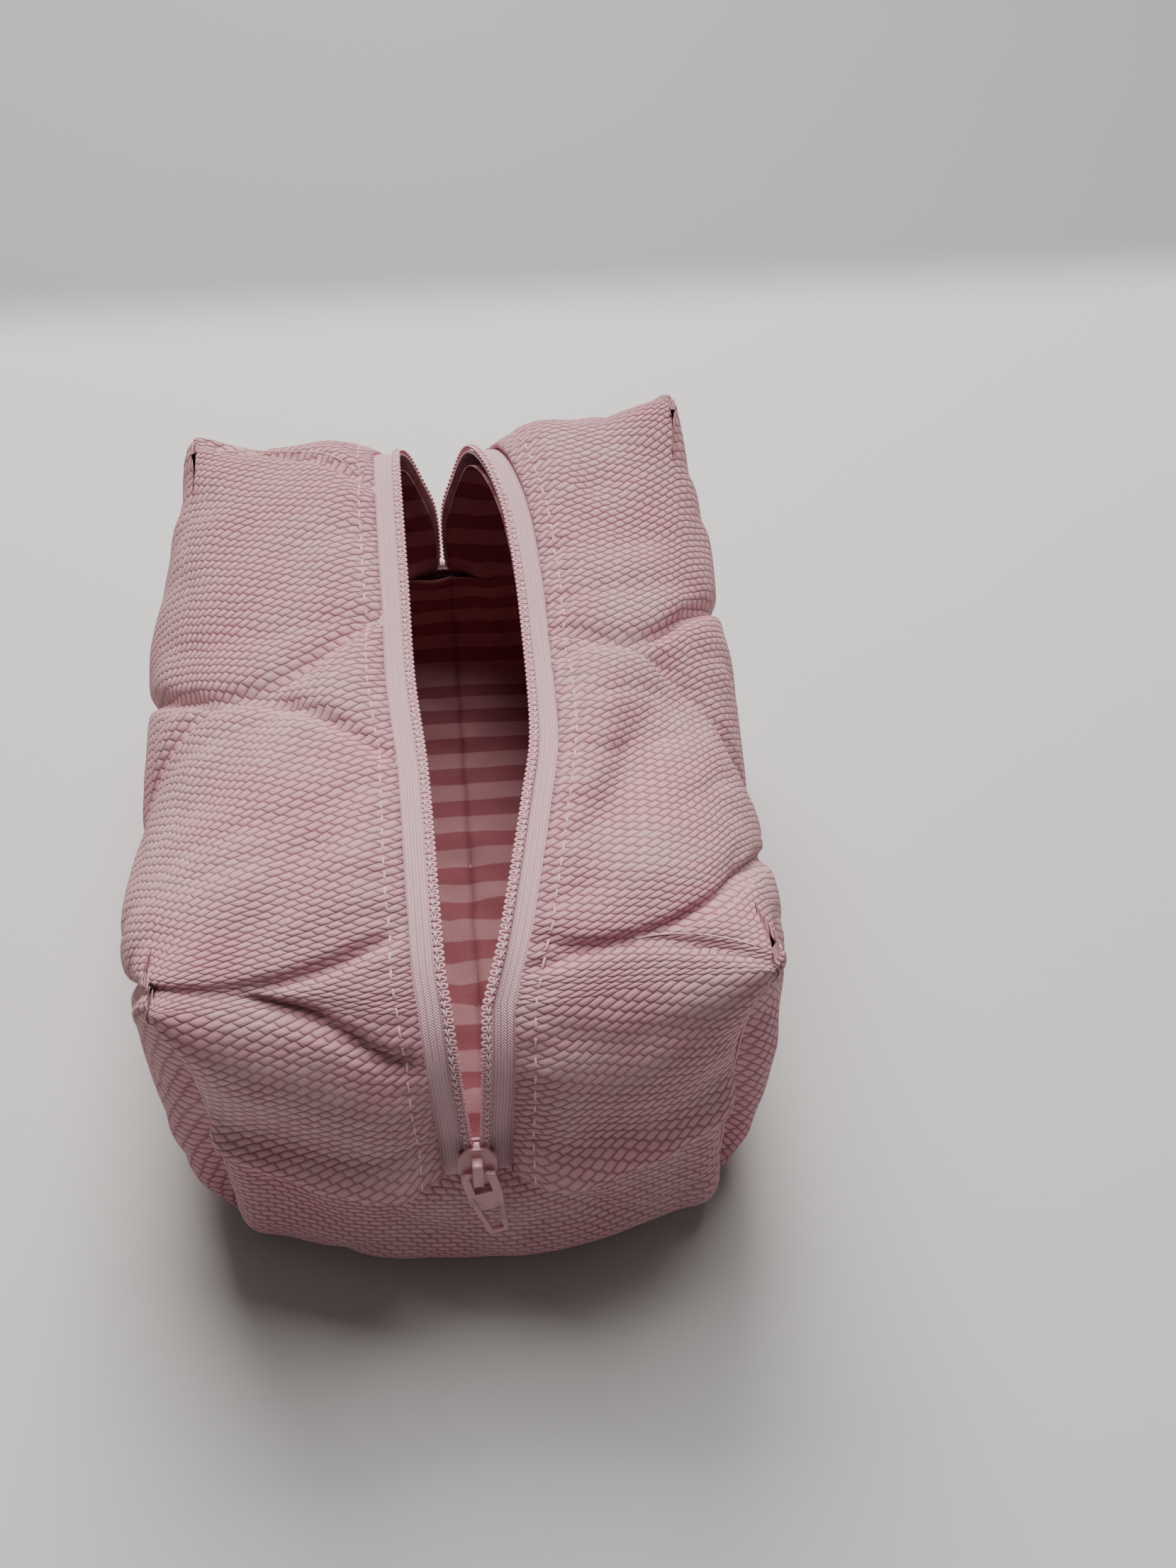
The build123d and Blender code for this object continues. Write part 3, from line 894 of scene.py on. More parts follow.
def hairpin_shape(width: float, pitch: float, wire: float) -> bpy.types.Mesh:
    """One turn of the coil: a loop of wire whose rounded head faces the other side of the zip.

    Args:
        width: from the head to the root.
        pitch: of the coil.
        wire: the wire's diameter.

    Returns:
        The mesh, its head towards -X.
    """
    bm = bmesh.new()
    loop = pitch * 0.27
    ring = bmesh.ops.create_circle(
        bm, segments=6, radius=wire / 2,
        matrix=Matrix.Translation((width, -loop, 0.0)) @ Matrix.Rotation(pi / 2, 4, "Y"),
    )
    edges = list(dict.fromkeys(e for v in ring["verts"] for e in v.link_edges))
    for reach in (0.5, 0.28):
        grown = bmesh.ops.extrude_edge_only(bm, edges=edges)
        verts = [g for g in grown["geom"] if isinstance(g, bmesh.types.BMVert)]
        edges = [g for g in grown["geom"] if isinstance(g, bmesh.types.BMEdge)]
        bmesh.ops.translate(bm, verts=verts, vec=(width * reach - verts[0].co.x, 0.0, wire * 0.2))
    edges = [e for e in edges if all(abs(v.co.x - verts[0].co.x) < 1e-4 for v in e.verts)]
    head = bmesh.ops.spin(
        bm, geom=edges, cent=(width * 0.28, 0.0, 0.0), axis=(0.0, 0.0, 1.0), dvec=(0.0, 0.0, 0.0),
        angle=-pi, steps=4, use_merge=False,
    )
    edges = [g for g in head["geom_last"] if isinstance(g, bmesh.types.BMEdge)]
    for reach in (0.22, 0.5):
        grown = bmesh.ops.extrude_edge_only(bm, edges=edges)
        verts = [g for g in grown["geom"] if isinstance(g, bmesh.types.BMVert)]
        edges = [g for g in grown["geom"] if isinstance(g, bmesh.types.BMEdge)]
        bmesh.ops.translate(bm, verts=verts, vec=(width * reach, pitch * 0.1, -wire * 0.25))
    bmesh.ops.recalc_face_normals(bm, faces=bm.faces)
    mesh = bpy.data.meshes.new("hairpin_shape")
    bm.to_mesh(mesh)
    bm.free()
    return mesh


def tube_along(bm: bmesh.types.BMesh, points: list[Vector], thickness: float, sides: int = 6) -> None:
    """Sweeps a round strand along points.

    Args:
        bm: receives the strand.
        points: the strand's middle line.
        thickness: its diameter.
        sides: how many faces go round it.
    """
    edges, last = [], len(points) - 1
    for i, spot in enumerate(points):
        ahead = (points[min(i + 1, last)] - points[max(i - 1, 0)]).normalized()
        turned = ahead.to_track_quat("Z", "X").to_matrix().to_4x4()
        turned.translation = spot
        ring = bmesh.ops.create_circle(
            bm, segments=sides, radius=thickness / 2, cap_ends=i in (0, last), matrix=turned
        )
        new = list(dict.fromkeys(e for v in ring["verts"] for e in v.link_edges))
        if edges:
            bmesh.ops.bridge_loops(bm, edges=edges + new)
        edges = new


# ---- sewn pieces -------------------------------------------------------------------------
Panel = tuple[tuple[float, float, float], tuple[float, float]]


@dataclass
class Shell:
    """Grid panels over the soft form: tops, sides, base and the two ends with their zip slits.

    The half sizes turn cube coordinates into millimetres along the cloth, and the flat sizes lay the
    panels out on the UV map.
    """

    form: BagForm
    mouth: Mouth
    lengthwise: int = 120
    top_columns: int = 40
    rows_up: int = 36
    rows_down: int = 36
    slit_columns: int = 8
    edge_outward: float = 7.6
    weave_turn: float = -30.0
    half_across: float = 62.0
    half_along: float = 91.0
    half_up: float = 50.0
    flat_across: float = 66.0
    flat_along: float = 96.0
    flat_up: float = 52.0
    flat_base: float = 62.0
    flat_base_start: float = 170.0

    def surface(self, a: float, b: float, c: float, part: str) -> Vector:
        """Point of the sheet; a plain sheet is the form itself."""
        return self.form.point(a, b, c)

    def edge(self, side: Side, b: float, c: float) -> float:
        """Cube coordinate a of the sheet's edge beside the zip."""
        return self.mouth.across(side, b, c, self.edge_outward)

    def floor_edge(self, side: Side) -> float:
        """Cube coordinate a of the base's strip under the slit."""
        return self.edge(side, -1.0, self.mouth.seam)

    def patch(
        self, bm: bmesh.types.BMesh, columns: int, rows: int, part: str,
        spot: Callable[[float, float], Panel],
    ) -> None:
        """Adds one grid panel.

        Args:
            bm: receives the panel.
            columns: squares along the first way.
            rows: squares along the second way.
            part: which panel it is.
            spot: turns two shares of the panel into cube coordinates and a flat place in millimetres.
        """
        grid = bmesh.ops.create_grid(bm, x_segments=columns, y_segments=rows, size=0.5)["verts"]
        layer = bm.loops.layers.uv.get("cloth") or bm.loops.layers.uv.new("cloth")
        flat = {}
        turn = radians(0.0 if part == "lower" else self.weave_turn)
        for vert in grid:
            s, t = (min(1.0, max(0.0, share + 0.5)) for share in vert.co.xy)
            (a, b, c), (u, v) = spot(s, t)
            vert.co = self.surface(a, b, c, part)
            flat[vert] = (u * cos(turn) - v * sin(turn), u * sin(turn) + v * cos(turn))
        for face in {f for vert in grid for f in vert.link_faces}:
            for loop in face.loops:
                loop[layer].uv = flat[loop.vert]

    def side_panels(self, bm: bmesh.types.BMesh, side: Side) -> None:
        """Adds the top, side and half of the base on one side of the zip.

        Args:
            bm: receives the panels.
            side: the half of the bag.
        """
        seam, sign = self.mouth.seam_at(1.0), side.value
        floor_edge = self.floor_edge(side)

        def top(s: float, t: float) -> Panel:
            """From the zip out to the side."""
            b = mix(-1.0, 1.0, t)
            a = mix(self.edge(side, b, 1.0), sign, s)
            return (a, b, 1.0), (sign * self.flat_across * abs(a), b * self.flat_along)

        def down_the_side(b: float, c: float) -> Panel:
            """A place on the side, laid flat beside the top."""
            fallen = self.flat_across + (1 - c) * self.flat_up
            return (sign, b, c), (sign * fallen, b * self.flat_along)

        def upper(s: float, t: float) -> Panel:
            """From the top down to the height of the end seams."""
            return down_the_side(mix(-1.0, 1.0, t), mix(1.0, seam, s))

        def lower(s: float, t: float) -> Panel:
            """From the height of the end seams down to the base."""
            return down_the_side(mix(-1.0, 1.0, t), mix(seam, -1.0, s))

        def base(s: float, t: float) -> Panel:
            """From the side in to the strip under the slit."""
            b, a = mix(-1.0, 1.0, t), mix(sign, floor_edge, s)
            under = self.flat_base_start + (1 - abs(a)) * self.flat_base
            return (a, b, -1.0), (sign * under, b * self.flat_along)

        self.patch(bm, self.top_columns, self.lengthwise, "top", top)
        self.patch(bm, self.rows_up, self.lengthwise, "side", upper)
        self.patch(bm, self.rows_down, self.lengthwise, "side", lower)
        self.patch(bm, self.top_columns, self.lengthwise, "base", base)

    def end_panels(self, bm: bmesh.types.BMesh, side: Side, end: End) -> None:
        """Adds the flap beside the zip and the half panel under the seam, at one end.

        Args:
            bm: receives the panels.
            side: the half of the bag.
            end: the end of the bag.
        """
        sign, b, mouth = side.value, float(end.value), self.mouth
        floor_edge = self.floor_edge(side)

        def flap(s: float, t: float) -> Panel:
            """From the zip out to the corner, above the end seam."""
            a = mix(self.edge(side, b, mix(1.0, mouth.seam, t)), sign, s)
            c = mix(1.0, mouth.seam_at(a), t)
            fallen = self.flat_along + (1 - c) * self.flat_up
            return (a, b, c), (sign * self.flat_across * abs(a), b * fallen)

        def lower(s: float, t: float) -> Panel:
            """From the strip out to the corner, under the end seam."""
            a = mix(floor_edge, sign, s)
            c = mix(mouth.seam_at(a), -1.0, t)
            return (a, b, c), (sign * self.flat_across * abs(a), c * self.flat_up)

        self.patch(bm, self.top_columns, self.rows_up, "flap", flap)
        self.patch(bm, self.top_columns, self.rows_down, "lower", lower)

    def strips(self, bm: bmesh.types.BMesh) -> None:
        """Adds the narrow panels under the slits and along the base's middle.

        Args:
            bm: receives the panels.
        """
        left, right = self.floor_edge(Side.LEFT), self.floor_edge(Side.RIGHT)

        def base(s: float, t: float) -> Panel:
            """Between the two halves of the base."""
            a, b = mix(left, right, s), mix(-1.0, 1.0, t)
            return (a, b, -1.0), (a * self.flat_across, b * self.flat_along)

        self.patch(bm, self.slit_columns, self.lengthwise, "base", base)
        for end in End:
            def below(s: float, t: float, b: float = float(end.value)) -> Panel:
                """Between the two halves of the end, under the zip's slit."""
                a = mix(left, right, s)
                c = mix(self.mouth.seam_at(a), -1.0, t)
                return (a, b, c), (a * self.flat_across, c * self.flat_up)

            self.patch(bm, self.slit_columns, self.rows_down, "lower", below)

    @staticmethod
    def close(bm: bmesh.types.BMesh) -> None:
        """Merges the panels' shared edges and turns every face outwards, the base's downwards.

        Args:
            bm: the panels.
        """
        bmesh.ops.remove_doubles(bm, verts=bm.verts, dist=0.02)
        bmesh.ops.recalc_face_normals(bm, faces=bm.faces)
        upturned = [f for f in bm.faces if f.calc_center_median().z < 4 and f.normal.z > 0.5]
        if len(upturned) > 20:
            bmesh.ops.reverse_faces(bm, faces=bm.faces)


@dataclass(frozen=True)
class Crease:
    """One long handling crease over the top, from a start to an end, in millimetres."""

    start: tuple[float, float]
    end: tuple[float, float]
    width: float
    depth: float

    def at(self, spot: Vector) -> float:
        """How deep the crease is under a place; it is deepest half way along.

        Args:
            spot: the place, in millimetres.

        Returns:
            The depth in millimetres.
        """
        (x0, y0), (x1, y1) = self.start, self.end
        dx, dy = x1 - x0, y1 - y0
        share = ((spot.x - x0) * dx + (spot.y - y0) * dy) / (dx * dx + dy * dy)
        held = min(1.0, max(0.0, share))
        away = sqrt((spot.x - x0 - held * dx) ** 2 + (spot.y - y0 - held * dy) ** 2)
        return self.depth * hill(away, self.width) * (0.6 + 0.4 * sin(pi * held))


@dataclass
class OuterCloth(Shell):
    """Quilted face cloth: wave-stitched channels, puffed between, with lips, seams and creases.

    Two lines of stitches swing apart and together, so their channels make long eyes. A touch is where
    they swing from, round the bag, and a node is where they meet, along it.
    """

    channel: float = 87.0
    swing: float = 21.75
    wave: float = 88.0
    left_touch: float = 44.0
    right_touch: float = 18.0
    left_node: float = 2.0
    right_node: float = 12.0
    puff: float = 0.9
    puff_width: float = 11.0
    groove: float = 2.3
    groove_width: float = 2.6
    deepest: float = -2.9
    end_girth: float = 64.0
    middle_girth: float = 12.0
    side_girth: float = 100.0
    calm_corner: float = 6.0
    base_share: float = 0.35
    seam_groove: float = 2.7
    seam_groove_width: float = 2.9
    seam_ridge: float = 1.3
    lip: float = 4.4
    lip_undercut: float = 5.5
    tuck: float = 4.6
    panel_puff: float = 2.0
    stitch_spacing: float = 8.4
    stitch_row: float = 4.0
    hem_reach: float = 31.0
    seam_top: float = 50.5
    seam_allowance: float = 1.2
    long_creases: tuple[Crease, ...] = (
        Crease((58.0, 2.0), (27.0, -66.0), 8.0, 4.2),
        Crease((-30.0, 20.0), (-58.0, -30.0), 6.0, 1.6),
        Crease((-22.0, -35.0), (-50.0, -78.0), 5.0, 1.4),
        Crease((60.0, 40.0), (36.0, 78.0), 6.0, 1.2),
    )

    def girth(self, a: float, b: float, c: float, side: Side) -> float:
        """Millimetres from the folded edge, round the bag.

        Args:
            a: across, -1 to 1.
            b: lengthwise, -1 to 1.
            c: upwards, -1 to 1.
            side: the half of the bag.

        Returns:
            The distance over the cloth.
        """
        edge = abs(self.edge(side, b, max(c, self.mouth.seam) if abs(b) == 1 else 1.0))
        width = self.end_girth + self.middle_girth * (1 - b * b)
        if c == 1.0 or abs(b) == 1.0:
            return max(0.0, (abs(a) - edge) * width)
        round_to_side = (1 - edge) * width
        if abs(a) == 1.0:
            return round_to_side + (1 - c) * self.half_up
        return round_to_side + self.side_girth + (1 - abs(a)) * width

    def channels(self, q: float, y: float, side: Side) -> float:
        """Height of the quilting: negative along the stitched waves, a little proud between them.

        Args:
            q: millimetres from the folded edge.
            y: millimetres along the bag.
            side: the half of the bag.

        Returns:
            The lift in millimetres.
        """
        touch = self.left_touch if side is Side.LEFT else self.right_touch
        node = self.left_node if side is Side.LEFT else self.right_node
        bow = self.swing * (1 - cos(pi * (q - touch) / self.wave))
        nearest = self.channel
        for line in (bow, -bow):
            gap = (y - node - line + self.channel / 2) % self.channel - self.channel / 2
            nearest = min(nearest, abs(gap))
        puffed = self.puff * (1 - hill(nearest, self.puff_width))
        return puffed - self.groove * hill(nearest, self.groove_width)

    def creases(self, spot: Vector) -> float:
        """Soft wrinkles of handled cloth, finer ones riding on broader ones.

        Args:
            spot: the place, in millimetres.

        Returns:
            The lift in millimetres.
        """
        broad = noise.noise(spot / 38) * 2.0
        slanted = Vector((spot.x / 38 + spot.y / 70, spot.y / 21 - spot.x / 44, spot.z / 30))
        folds = hill(noise.noise(slanted), 0.16) * -0.75
        fine = noise.noise(spot / 10 + Vector((7.0, 3.0, 1.0))) * 0.32
        return broad + folds + fine + 0.4

    def valley(self, spot: Vector) -> float:
        """Long creases: a deep slanting one across the right top, and softer ones beside it."""
        depth = sum(crease.at(spot) for crease in self.long_creases)
        return -depth * ease((spot.z - 70) / 20)

    def corner_lift(self, corner: float, c: float, part: str, low: float) -> float:
        """Sharp groove along the boxed corner seams, and the soft ridge beside it.

        Args:
            corner: millimetres from the corner seam.
            c: cube coordinate upwards.
            part: which panel it is.
            low: how free of the table the cloth is.

        Returns:
            The lift in millimetres.
        """
        below_top = ease((0.92 - c) * 5) if c < 1 else 0.0
        ridged = low if part in ("side", "lower") else 0.0
        pulled_in = self.seam_groove * hill(corner, self.seam_groove_width) * below_top
        return self.seam_ridge * hill(corner - 8.0, 5.0) * ridged - pulled_in

    def end_seam_lift(self, from_seam: float, x: float, part: str) -> float:
        """Lip that hangs over the end seam, and the tuck of the panel under it.

        Args:
            from_seam: millimetres above the seam.
            x: millimetres from the zip's middle.
            part: which panel it is.

        Returns:
            The lift in millimetres.
        """
        if part == "flap":
            return self.lip * hill(from_seam - 3.0, 6.5) - self.lip_undercut * hill(from_seam, 1.2)
        slit = hill(x, 9.0)
        tucked = self.tuck * hill(from_seam, 5.0) * (1 - 0.7 * slit)
        return self.panel_puff * hill(from_seam + 34, 12.0) - tucked - 0.6

    def fold_lift(self, lift: float, q: float, way: float) -> float:
        """Rolls the cloth over at the folded edge and pulls it down along the topstitching.

        Args:
            lift: the lift so far.
            q: millimetres from the folded edge.
            way: millimetres along the edge.

        Returns:
            The new lift in millimetres.
        """
        row = q - self.stitch_row
        pucker = 0.35 * sin(2 * pi * way / self.stitch_spacing) * hill(row, 3.0)
        roll = -1.9 * hill(q, 1.3)
        lift += pucker + roll - 0.5 * hill(row, 0.9) + 1.1 * hill(q - 11.0, 7.0)
        lift *= 0.35 + 0.65 * ease(q / 7.0)
        return lift - 0.9 * hill(q, 4.0)

    def surface(self, a: float, b: float, c: float, part: str) -> Vector:
        """Point of the face cloth with its quilting, creases, lips and seams.

        Args:
            a: across, -1 to 1.
            b: lengthwise, -1 to 1.
            c: upwards, -1 to 1.
            part: which panel it is.

        Returns:
            The point about the bag's middle, in millimetres.
        """
        side = Side.LEFT if a < 0 else Side.RIGHT
        bare = self.form.point(a, b, c)
        corner = sqrt(((1 - abs(b)) * self.half_along) ** 2 + ((1 - abs(a)) * self.half_across) ** 2)
        free = 1 - hill(corner, self.calm_corner)
        low = mix(self.base_share, 1.0, ease((bare.z - 2) / 16))
        q = self.girth(a, b, c, side)
        lift = self.creases(bare) * free * low + self.valley(bare)
        if part != "lower":
            down = (1 - c) * self.half_up if abs(b) == 1.0 else 0.0
            y = b * self.half_along + (down if b > 0 else -down)
            lift += self.channels(q, y, side) * free * low
        lift += self.corner_lift(corner, c, part, low)
        if part in ("flap", "lower"):
            from_seam = (c - self.mouth.seam_at(a)) * self.half_up
            lift += self.end_seam_lift(from_seam, bare.x, part) * free
        if part in ("top", "flap"):
            lift = self.fold_lift(lift, q, b * self.half_along + c * self.half_up)
        return self.form.point(a, b, c, lift if part == "lower" else max(lift, self.deepest))

    def hem(self, bm: bmesh.types.BMesh) -> None:
        """Turns the cloth under along the zip, by growing its free edge inwards and back.

        Args:
            bm: the sewn panels.
        """
        free = [e for e in bm.edges if e.is_boundary]
        layer = bm.loops.layers.uv["cloth"]
        turns = ((0.0, -1.0), (1.6, -0.7), (4.0, 0.1))
        for sideways, down in turns:
            grown = bmesh.ops.extrude_edge_only(bm, edges=free)["geom"]
            free = [g for g in grown if isinstance(g, bmesh.types.BMEdge) and g.is_boundary]
            for vert in (g for g in grown if isinstance(g, bmesh.types.BMVert)):
                if abs(vert.co.x) > self.hem_reach or vert.co.z < self.seam_top:
                    vert.co.y -= (1 if vert.co.y > 0 else -1) * self.seam_allowance
                    continue
                outwards = Vector((1.0 if vert.co.x > 0 else -1.0, 0.0, 0.0))
                normal = Vector((0.0, vert.co.y / 100, 1.0 if vert.co.z > 88 else 0.25)).normalized()
                vert.co += outwards * sideways + normal * down
        for face in bm.faces:
            for loop in face.loops:
                if loop[layer].uv.length < 1e-6:
                    loop[layer].uv = (loop.vert.co.x, loop.vert.co.y)

    def build(self, material: bpy.types.Material) -> bpy.types.Object:
        """Sews the panels into one cloth.

        Args:
            material: its finish.

        Returns:
            The piece.
        """
        bm = bmesh.new()
        for side in Side:
            self.side_panels(bm, side)
            for end in End:
                self.end_panels(bm, side, end)
        self.strips(bm)
        self.close(bm)
        self.hem(bm)
        piece = new_piece("quilted_face_cloth", bm, self.form, material)
        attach(piece, "bag")
        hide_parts("outer_cloth")
        return piece


@dataclass
class Wadding(Shell):
    """Sheet of fleece between the face cloth and the lining."""

    lengthwise: int = 60
    top_columns: int = 20
    rows_up: int = 18
    rows_down: int = 18
    slit_columns: int = 4
    edge_outward: float = 9.5
    depth: float = 3.9
    thickness: float = 0.9
    seam_draw: float = 3.0
    slit_drop: float = 7.0

    def surface(self, a: float, b: float, c: float, part: str) -> Vector:
        """Middle of the fleece, loosely uneven and drawn back behind the end seams.

        Args:
            a: across, -1 to 1.
            b: lengthwise, -1 to 1.
            c: upwards, -1 to 1.
            part: which panel it is.

        Returns:
            The point about the bag's middle, in millimetres.
        """
        uneven = 0.3 * noise.noise(self.form.point(a, b, c) / 12)
        drawn_back = 0.0
        if part in ("flap", "lower"):
            from_seam = (c - self.mouth.seam_at(a)) * self.half_up
            drawn_back = self.seam_draw * hill(from_seam, 10.0)
        spot = self.form.point(a, b, c, -self.depth + uneven - drawn_back * ease((1 - abs(a)) * 8))
        if part == "lower":
            from_slit = (c - self.mouth.seam) * self.half_up
            spot.z -= self.slit_drop * hill(spot.x, 14.0) * hill(from_slit, 9.0)
        return spot

    def build(self, material: bpy.types.Material) -> bpy.types.Object:
        """Makes the fleece with its thickness.

        Args:
            material: its finish.

        Returns:
            The piece.
        """
        bm = bmesh.new()
        for side in Side:
            self.side_panels(bm, side)
            for end in End:
                self.end_panels(bm, side, end)
        self.strips(bm)
        self.close(bm)
        bmesh.ops.solidify(bm, geom=bm.faces, thickness=self.thickness)
        piece = new_piece("fleece_wadding", bm, self.form, material)
        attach(piece, "bag")
        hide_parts("wadding")
        return piece


@dataclass
class Lining(Shell):
    """One half of the striped lining, creased and hanging a little loose inside."""

    side: Side = Side.LEFT
    lengthwise: int = 84
    top_columns: int = 30
    rows_up: int = 24
    rows_down: int = 24
    edge_outward: float = 1.6
    depth: float = 5.6
    thickness: float = 0.35
    weave_turn: float = 0.0
    floor_seam: float = 0.04
    seam_draw: float = 3.0
    flat: tuple[float, float] = (0.232, 0.288)

    def floor_edge(self, side: Side) -> float:
        """The halves meet in the floor seam."""
        return self.floor_seam

    def surface(self, a: float, b: float, c: float, part: str) -> Vector:
        """Point of the lining with its folds, which only go inwards.

        Args:
            a: across, -1 to 1.
            b: lengthwise, -1 to 1.
            c: upwards, -1 to 1.
            part: which panel it is.

        Returns:
            The point about the bag's middle, in millimetres.
        """
        bare = self.form.point(a, b, c, -self.depth)
        outward = 1.0
        if part in ("top", "flap"):
            outward = abs(a) - abs(self.edge(self.side, b, c if abs(b) == 1 else 1.0))
        fold = abs(noise.noise(Vector((bare.x / 24, bare.y / 15, bare.z / 34)))) * 3.4
        fold += abs(noise.noise(Vector((bare.x / 9, bare.y / 7, bare.z / 12)))) * 1.5
        ridge = 0.0
        if part in ("base", "lower"):
            ridge = 0.45 * hill((a - self.floor_seam) * self.half_across, 2.0)
        if part in ("flap", "lower"):
            from_seam = (c - self.mouth.seam_at(a)) * self.half_up
            fold += self.seam_draw * hill(from_seam, 10.0) * ease((1 - abs(a)) * 8)
        return self.form.point(a, b, c, -self.depth - fold * ease(outward * 5) + ridge)

    def build(self, material: bpy.types.Material) -> bpy.types.Object:
        """Makes the half with its thickness.

        Args:
            material: its finish.

        Returns:
            The piece.
        """
        bm = bmesh.new()
        self.side_panels(bm, self.side)
        for end in End:
            self.end_panels(bm, self.side, end)
        self.close(bm)
        area = sum(f.calc_area() for f in bm.faces) * MM * MM
        bmesh.ops.solidify(bm, geom=bm.faces, thickness=self.thickness)
        name = self.side.name.lower()
        piece = new_piece(f"lining_{name}_half", bm, self.form, material)
        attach(piece, "bag")
        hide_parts(f"lining_{name}")
        return piece


@dataclass
class Zip:
    """Coil zip: two tapes, the coils on their edges, and the chain stitching that holds them."""

    form: BagForm
    mouth: Mouth
    tape_width: float = 12.0
    tape_thickness: float = 0.5
    tape_row: float = 1.6
    tape_inset: float = 0.5
    pitch: float = 1.5
    wire: float = 0.72
    coil_lift: float = 0.85
    chain_length: float = 2.0
    chain_thread: float = 0.42
    chain_dip: float = 0.4
    chain_lift: float = 1.4

    def tape(self, side: Side, material: bpy.types.Material) -> bpy.types.Object:
        """Weaves one tape as a strip along the route.

        Args:
            side: the half of the zip.
            material: its finish.

        Returns:
            The piece.
        """
        bm = bmesh.new()
        rows = int(self.mouth.length / self.tape_row)
        grid = bmesh.ops.create_grid(bm, x_segments=8, y_segments=rows, size=0.5)["verts"]
        layer = bm.loops.layers.uv.new("cloth")
        flat = {}
        for vert in grid:
            outward = self.tape_inset + (vert.co.x + 0.5) * self.tape_width
            along = (vert.co.y + 0.5) * self.mouth.length
            flat[vert] = (outward, along)
            ripple = 0.12 * noise.noise(Vector((along / 9, outward / 4, side.value)))
            vert.co = self.mouth.at(side, along, outward, ripple)
        for face in bm.faces:
            for loop in face.loops:
                loop[layer].uv = flat[loop.vert]
        bmesh.ops.recalc_face_normals(bm, faces=bm.faces)
        bmesh.ops.solidify(bm, geom=bm.faces, thickness=self.tape_thickness)
        name = side.name.lower()
        piece = new_piece(f"tape_{name}", bm, self.form, material)
        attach(piece, "bag")
        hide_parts(f"zip_tape_{name}")
        return piece

    def coil(self, side: Side, material: bpy.types.Material) -> bpy.types.Object:
        """Lays the coil's loops along the tape's edge.

        Args:
            side: the half of the zip.
            material: its finish.

        Returns:
            The piece.
        """
        shape = hairpin_shape(self.mouth.coil_width, self.pitch, self.wire)
        bm = bmesh.new()
        count = int(self.mouth.length / self.pitch)
        stagger = 0.5 if side is Side.RIGHT else 0.0
        for i in range(count):
            along = (i + 0.25 + stagger) * self.pitch
            stamp(bm, shape, self.mouth.turn(side, along, 0.0, self.coil_lift))
        bmesh.ops.recalc_face_normals(bm, faces=bm.faces)
        name = side.name.lower()
        piece = new_piece(f"coil_{name}", bm, self.form, material)
        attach(piece, "bag")
        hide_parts(f"zip_coil_{name}")
        return piece

    def chain(self, side: Side, material: bpy.types.Material) -> bpy.types.Object:
        """Sews the coil down with a row of chain stitches.

        Args:
            side: the half of the zip.
            material: its finish.

        Returns:
            The piece.
        """
        shape = stitch_shape(self.chain_length, self.chain_thread, self.chain_dip)
        bm = bmesh.new()
        strands = ((1.45, 0.2), (1.85, -0.2))
        for i in range(int(self.mouth.length / self.chain_length)):
            middle = (i + 0.5) * self.chain_length
            for outward, lean in strands:
                placing = self.mouth.turn(side, middle, outward, self.chain_lift)
                stamp(bm, shape, placing @ Matrix.Rotation(lean, 4, "Z"))
        name = side.name.lower()
        piece = new_piece(f"chain_stitching_{name}", bm, self.form, material)
        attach(piece, "bag")
        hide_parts(f"coil_stitching_{name}")
        return piece

    def build(self, tape: bpy.types.Material, coil: bpy.types.Material, thread: bpy.types.Material) -> None:
        """Makes both halves.

        Args:
            tape: the tapes' finish.
            coil: the coils' finish.
            thread: the chain stitches' finish.
        """
        for side in Side:
            for piece in (self.tape(side, tape), self.coil(side, coil), self.chain(side, thread)):
                log.info("zip piece %s", piece.name)


